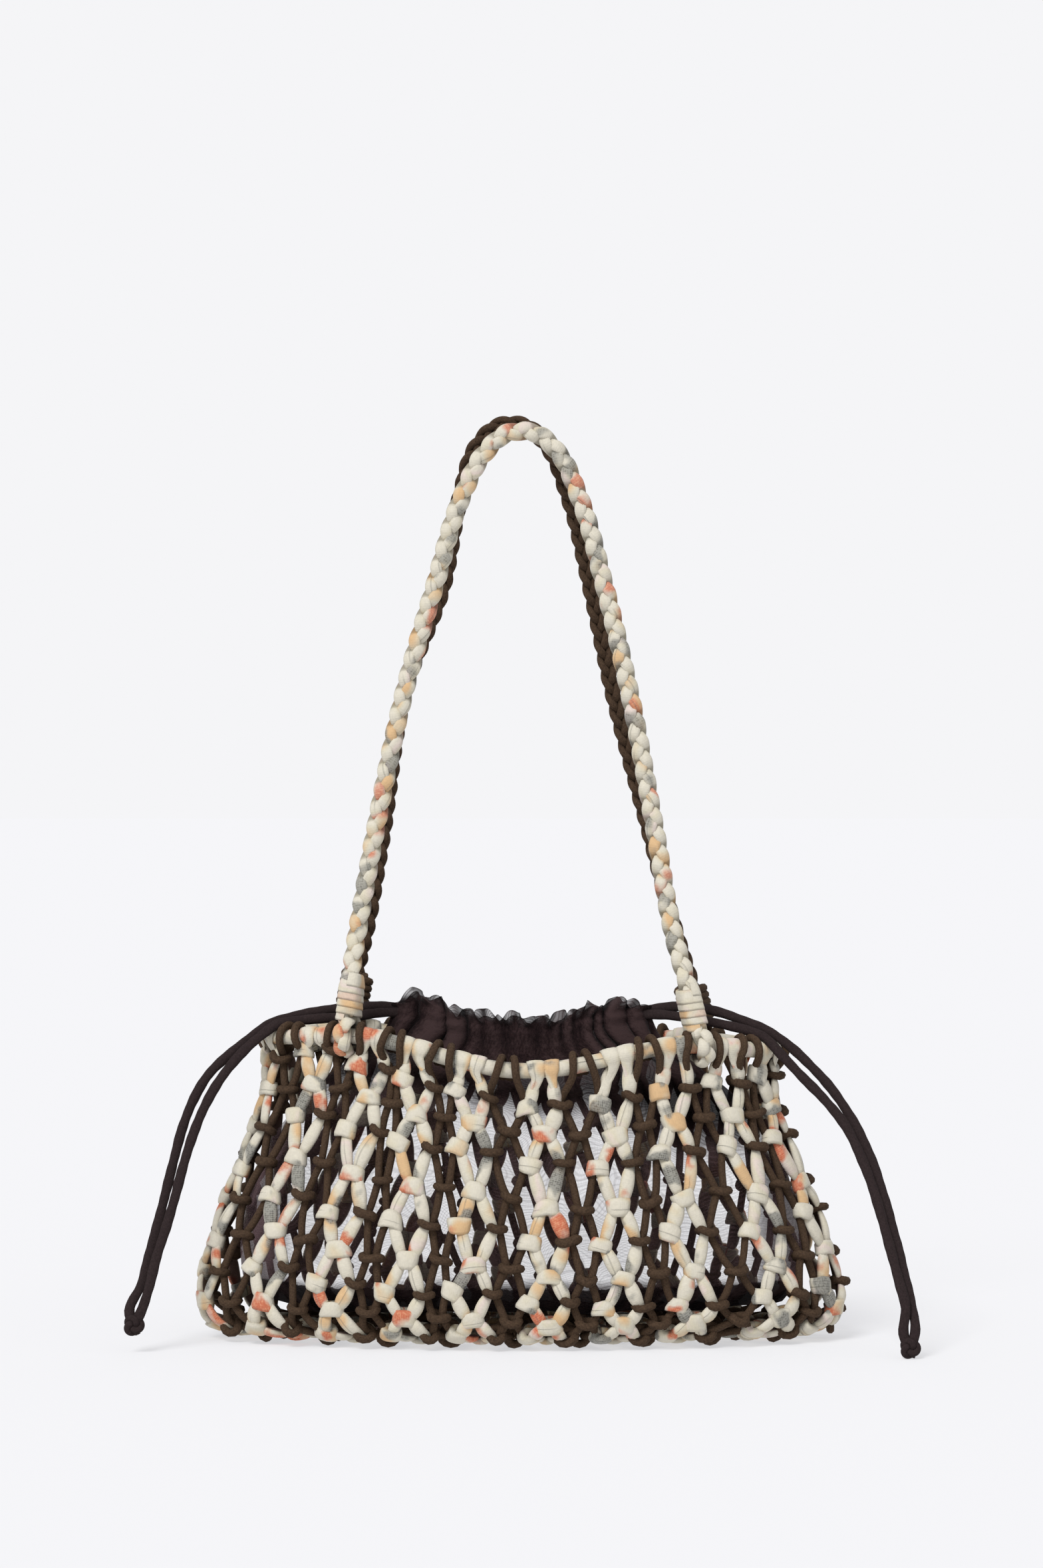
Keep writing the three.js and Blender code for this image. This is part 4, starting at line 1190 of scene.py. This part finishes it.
def strap_foot(side, front):
    """Place on the rim, and the ways along it, out and up the leg."""
    place, _, out, _ = rim_frame(foot_column(side, front))
    height, left, right = (FRONT_ARCH if front else BACK_ARCH)[0]
    up = unit(np.array(((left if side < 0 else right) - place[0], -0.1 * place[1], height - place[2])))
    out = square_to(out, up)
    return place, np.cross(up, out), out, up


def foot_places(foot):
    """Down the inner leg, round under the rim and up the outer leg."""
    place, _, out, up = foot
    half = np.linspace(0, math.pi, 8)
    offsets = [(-STRAP_LEG_APART, STRAP_LEG_TOP), (-STRAP_LEG_APART, STRAP_LEG_FOOT),
               (-STRAP_TURN_RADIUS + MM, STRAP_LEG_FOOT / 2)]
    offsets += [(-STRAP_TURN_RADIUS * math.cos(a), -STRAP_TURN_RADIUS * math.sin(a)) for a in half]
    offsets += [(STRAP_TURN_RADIUS - MM, STRAP_LEG_FOOT / 2), (STRAP_LEG_APART, STRAP_LEG_FOOT),
                (STRAP_LEG_APART, STRAP_LEG_TOP)]
    return np.array([place + a * out + b * up for a, b in offsets])


def strap_path(front):
    """The middle of a strap, with its ways across and outward."""
    rows = FRONT_ARCH if front else BACK_ARCH
    apex = -STRAP_APEX_DEPTH if front else STRAP_APEX_DEPTH
    feet = [strap_foot(side, front) for side in (-1, 1)]
    left, right = foot_places(feet[0]), foot_places(feet[1])[::-1]
    starts = (left[-1], right[0])
    risen = np.sqrt((rows[:, 0] - starts[0][2]) / (rows[-1, 0] - starts[0][2]))
    sides = []
    for start, x in zip(starts, (rows[:, 1], rows[:, 2])):
        sides.append(np.stack((x, start[1] + risen * (apex - start[1]), rows[:, 0]), axis=1))
    points = np.concatenate((left, sides[0], sides[1][::-1], right))
    leg = np.zeros(len(points))
    leg[:len(left)] = -1
    leg[-len(right):] = 1
    rows = smooth_path(np.column_stack((points, leg)), STRAP_SPACING)
    middle, leg = rows[:, :3], rows[:, 3:4]
    along = ways_along(middle)
    facing = np.array((0.0, -1.0 if front else 1.0, 0.0))
    in_arch = square_to(np.cross(along, facing), along)
    wide = in_arch * (1 - np.abs(leg))
    for foot, sign in zip(feet, (-1, 1)):
        free = np.nonzero(sign * leg[:, 0] < 0.9)[0]
        joint = free[0] if sign < 0 else free[-1]
        flip = 1.0 if np.dot(foot[1], in_arch[joint]) > 0 else -1.0
        wide = wide + np.maximum(0, sign * leg) * flip * foot[1]
    wide = square_to(wide, along)
    return middle, wide, np.cross(wide, along)


def braid(front, reach, rise, period, swelling):
    """Three strands plaited along a strap."""
    middle, wide, out = strap_path(front)
    length = np.concatenate(([0], np.cumsum(np.linalg.norm(np.diff(middle, axis=0), axis=1))))
    lines = []
    for j in range(3):
        phase = 2 * math.pi * (length / period + j / 3)
        across = reach * np.sin(phase)
        lift = rise * np.sin(2 * phase)
        points = middle + across[:, None] * wide + lift[:, None] * out
        along = ways_along(points)
        tilt = 0.45 * np.sin(phase)[:, None]
        face = square_to(np.cos(tilt) * out + np.sin(tilt) * wide, along)
        girth = 1 + swelling * np.sin(2 * phase)
        # Painted shade on the strand where it runs under the others.
        under = 0.85 * smoothstep(0.35, -0.25, np.sin(2 * phase))
        lines.append({"points": points, "face_way": face, "girth": girth, "tuck": under,
                      "shift": dice.uniform(0, PRINT_REACH)})
    return lines


def binding(side, front, lift):
    """A strip wound round the two legs of a strap foot."""
    place, along, out, up = strap_foot(side, front)
    turn = np.linspace(0, BINDING_TURNS, BINDING_TURNS * BINDING_STEPS + 1)
    across, deep = ring_curve(2 * math.pi * turn + math.pi / 2, BINDING_HALF_WIDTH + lift,
                              BINDING_HALF_DEPTH + lift, BINDING_SQUARENESS)
    rise = BINDING_TO - BINDING_FROM - 2 * BINDING_MARGIN
    height = BINDING_FROM + BINDING_MARGIN + rise * turn / BINDING_TURNS
    points = place + across[:, None] * along + deep[:, None] * out + height[:, None] * up
    outward = unit(across[:, None] / BINDING_HALF_WIDTH * along + deep[:, None] / BINDING_HALF_DEPTH * out)
    face = square_to(outward + BINDING_TUCK * up, ways_along(points))
    return [{"points": points, "face_way": face, "shift": dice.uniform(0, PRINT_REACH)}]


front_strap = swept("front_strap_braid", braid(True, **FRONT_BRAID), *FRONT_STRAND, 10, PALE_STRAP)
back_strap = swept("back_strap_braid", braid(False, **BACK_BRAID), *BACK_STRAND, 8, DARK_CORD)
ride_for(front_strap, "strap_front")
ride_for(back_strap, "strap_back")
# strips that bind the feet: lift, half width, half thickness, finish and slot
BINDING_STRIPS = {
    "front": (0.3 * MM, 3.5 * MM, 0.4 * MM, BINDING_CLOTH, "pale_cord"),
    "back": (1.2 * MM, 2.1 * MM, 1.9 * MM, DARK_CORD, "dark_cord"),
}
for side, word in ((-1, "left"), (1, "right")):
    for face, (lift, half_width, half_thickness, finish, slot) in BINDING_STRIPS.items():
        strip = binding(side, face == "front", lift)
        wound = swept(f"{face}_{word}_binding", strip, half_width, half_thickness, 8, finish)
        ride_for(wound, f"binding_{face}_{word}")


# Lining

def hill(turn, middle, width):
    """A smooth rise round one way of the pouch."""
    apart = np.angle(np.exp(1j * (turn - middle)))
    return np.exp(-(apart / width) ** 2)


def folds(turn, counts, drift):
    """Mixed waves round the pouch with a slow drift up its height: their depth, and their slide along."""
    depth, slide = 0, 0
    for count in counts:
        phase = dice.uniform(0, 2 * math.pi) + drift * np.sin(2.5 * np.linspace(0, 1, LINING_LEVELS) + count)
        wave = count * turn + phase[:, None]
        depth = depth + np.sin(wave)
        slide = slide + np.cos(wave)
    return depth / math.sqrt(len(counts)), slide / math.sqrt(len(counts))


def lining_rows():
    """How far up the cloth each row of the pouch lies, and the sizes there."""
    sections = LINING_SECTIONS
    gaps = np.hypot(np.diff(sections[:, 0]), np.diff(sections[:, 2]))
    places = np.concatenate(([0], np.cumsum(gaps)))
    ends = np.concatenate(([0], np.cumsum(LINING_STEPS)))
    level = np.interp(np.arange(LINING_LEVELS), ends, places)
    plain = np.stack([np.interp(level, places, column) for column in sections.T], axis=1)
    curved = smoothstep(places[1], places[2], level)[:, None]
    rows = plain + curved * (through(places, sections, level) - plain)
    rows[:, 2] = np.maximum(rows[:, 2], 0)
    return level[:, None], rows.T[:, :, None]


def pouch_mesh(points):
    """The pouch's mesh, and which of the points it uses."""
    levels, rounds = points.shape[:2]
    index = np.arange(levels * rounds).reshape(levels, rounds)
    # the bottom row lies on one line, so its back half is its front half
    index[0, rounds // 2 + 1:] = index[0, 1:rounds // 2][::-1]
    around = np.roll(index, -1, axis=1)
    faces = np.stack((index[:-1], around[:-1], around[1:], index[1:]), axis=-1).reshape(-1, 4)
    used, faces = np.unique(faces, return_inverse=True)
    mesh = bpy.data.meshes.new("lining_cloth")
    mesh.from_pydata(points.reshape(-1, 3)[used].tolist(), [], faces.reshape(-1, 4).tolist())
    mesh.polygons.foreach_set("use_smooth", np.ones(len(mesh.polygons), bool))
    mesh.materials.append(LINING_CLOTH)
    return mesh, used


def lining():
    """The pouch as one sheet: rows from the bottom seam up to the ruffled edge."""
    level, (height, half_length, half_depth, gather, sag) = lining_rows()
    share = np.arange(LINING_ROUNDS) / LINING_ROUNDS
    turn = share * 2 * math.pi
    x, y = oval(share[None, :] * COLUMNS, half_length, half_depth)
    out = unit(np.stack((x / np.maximum(half_length, MM) ** 2, y / np.maximum(half_depth, 2 * MM) ** 2),
                        axis=-1))
    gathers = hill(turn, *FRONT_GATHERS) + 0.6 * hill(turn, *BACK_GATHERS)
    rolls = sum(hill(turn, *roll) for roll in ROLLS)
    drawn = turn + NECK_DRAG * (height - STRING_EXIT_HEIGHT) * np.cos(turn)
    fine, fine_slide = folds(drawn, (37, 46), 0.6)
    broad, broad_slide = folds(drawn, (17, 23, 29), 0.8)
    fine_share = FINE_SHARES[0] + FINE_SHARES[1] * gathers
    broad_share = BROAD_SHARES[0] + BROAD_SHARES[1] * rolls
    crest = fine_share * fine + broad_share * broad
    depth = gather * crest
    slide = -gather * (0.6 * fine_share * fine_slide + 0.8 * broad_share * broad_slide)

    frill = smoothstep(*FRILL_HEIGHTS, height)
    flutter, flutter_slide = folds(drawn, (13, 22, 31), 0.2)
    crinkle, _ = folds(drawn, (57, 71), 0.3)
    depth = (1 - 0.3 * frill) * depth + frill * (FRILL_WAVE * flutter + 0.6 * MM * crinkle)
    slide = (1 - 0.75 * frill) * slide + frill * 0.8 * MM * flutter_slide
    scallops = 0.45 * np.abs(np.sin(7.5 * turn + 0.4)) + 0.55 * np.abs(np.sin(10.5 * turn + 1.1))
    z = height + frill * (FRILL_SCALLOP * (scallops - 0.6) + 0.4 * MM * fine)
    z = z - sag * np.interp(x, *NECK_DROPS.T)

    pinch = smoothstep(*PINCH_HEIGHTS, height) * smoothstep(*PINCH_REACH, np.abs(x))
    z = z + 0.6 * pinch * (STRING_EXIT_HEIGHT - z)
    x = x + np.sign(x) * PINCH_SHIFT * pinch
    slack = smoothstep(*SLACK_FROM, height) * (1 - smoothstep(*SLACK_TO, height))
    depth = depth + slack * SLACK_WAVE * np.sin(7 * turn + 90 * height) * np.sin(3 * turn - 40 * height)
    loose = 1 - 0.7 * pinch
    x = x + loose * (depth * out[..., 0] - slide * out[..., 1])
    y = y + loose * (depth * out[..., 1] + slide * out[..., 0])
    lowest = 1 - smoothstep(*HEM_HEIGHTS, height)
    hem = HEM_WAVE * np.sin(41 * x) * np.cos(97 * x) + HEM_LIFT * smoothstep(*HEM_LIFT_REACH, np.abs(x))
    z = z + lowest * hem

    lower = np.interp(x, *CLOSE_DROPS.T)
    close = smoothstep(*CLOSE_HEIGHTS, height + lower + 3 * MM * broad)
    cover = SHEER_COVER + CLOSE_COVER * close + CASING_COVER * smoothstep(*CASING_HEIGHTS, height)
    pleats, _ = folds(turn, (27, 38, 53), 0.3)
    ragged, _ = folds(turn, (9, 14, 23), 0.0)
    thin = (0.24 * scallops - 0.16 * pleats) * smoothstep(*THIN_HEIGHTS, height - 0.9 * MM * ragged)
    cover = cover - np.maximum(thin, 0) * (1 - 0.45 * rolls)
    cover = np.minimum(cover + EDGE_COVER * smoothstep(*EDGE_HEIGHTS, height), FULL_COVER)
    seam_band = 0.9 * (1 - smoothstep(*SEAM_HEIGHTS, height))
    side_fold = 0.7 * smoothstep(*SIDE_FOLD_REACH, np.abs(x))
    cover = np.maximum(cover, np.maximum(seam_band, side_fold))
    haze = (1 - close) * (1 - seam_band)
    front = smoothstep(-0.2, 0.2, np.sin(turn))
    above_seam = level - SEAM_BAND_BACK - (SEAM_BAND_FRONT - SEAM_BAND_BACK) * front
    cloth = np.stack(np.broadcast_arrays(turn * 0.1, level, 0 * x), axis=-1)

    mesh, used = pouch_mesh(np.stack((x, y, z), axis=-1))
    # The folds' crests also set the painted highlight and painted shade of the close cloth.
    fields = {"cover": cover, "haze": haze, "above_seam": above_seam, "crest": 0.5 + 0.4 * crest}
    write_attributes(mesh, cloth=cloth.reshape(-1, 3)[used],
                     **{name: values.reshape(-1)[used] for name, values in fields.items()})
    piece = bpy.data.objects.new("lining_cloth", mesh)
    scene.collection.objects.link(piece)
    return piece


lining_piece = lining()
ride_for(lining_piece, "lining_pouch")
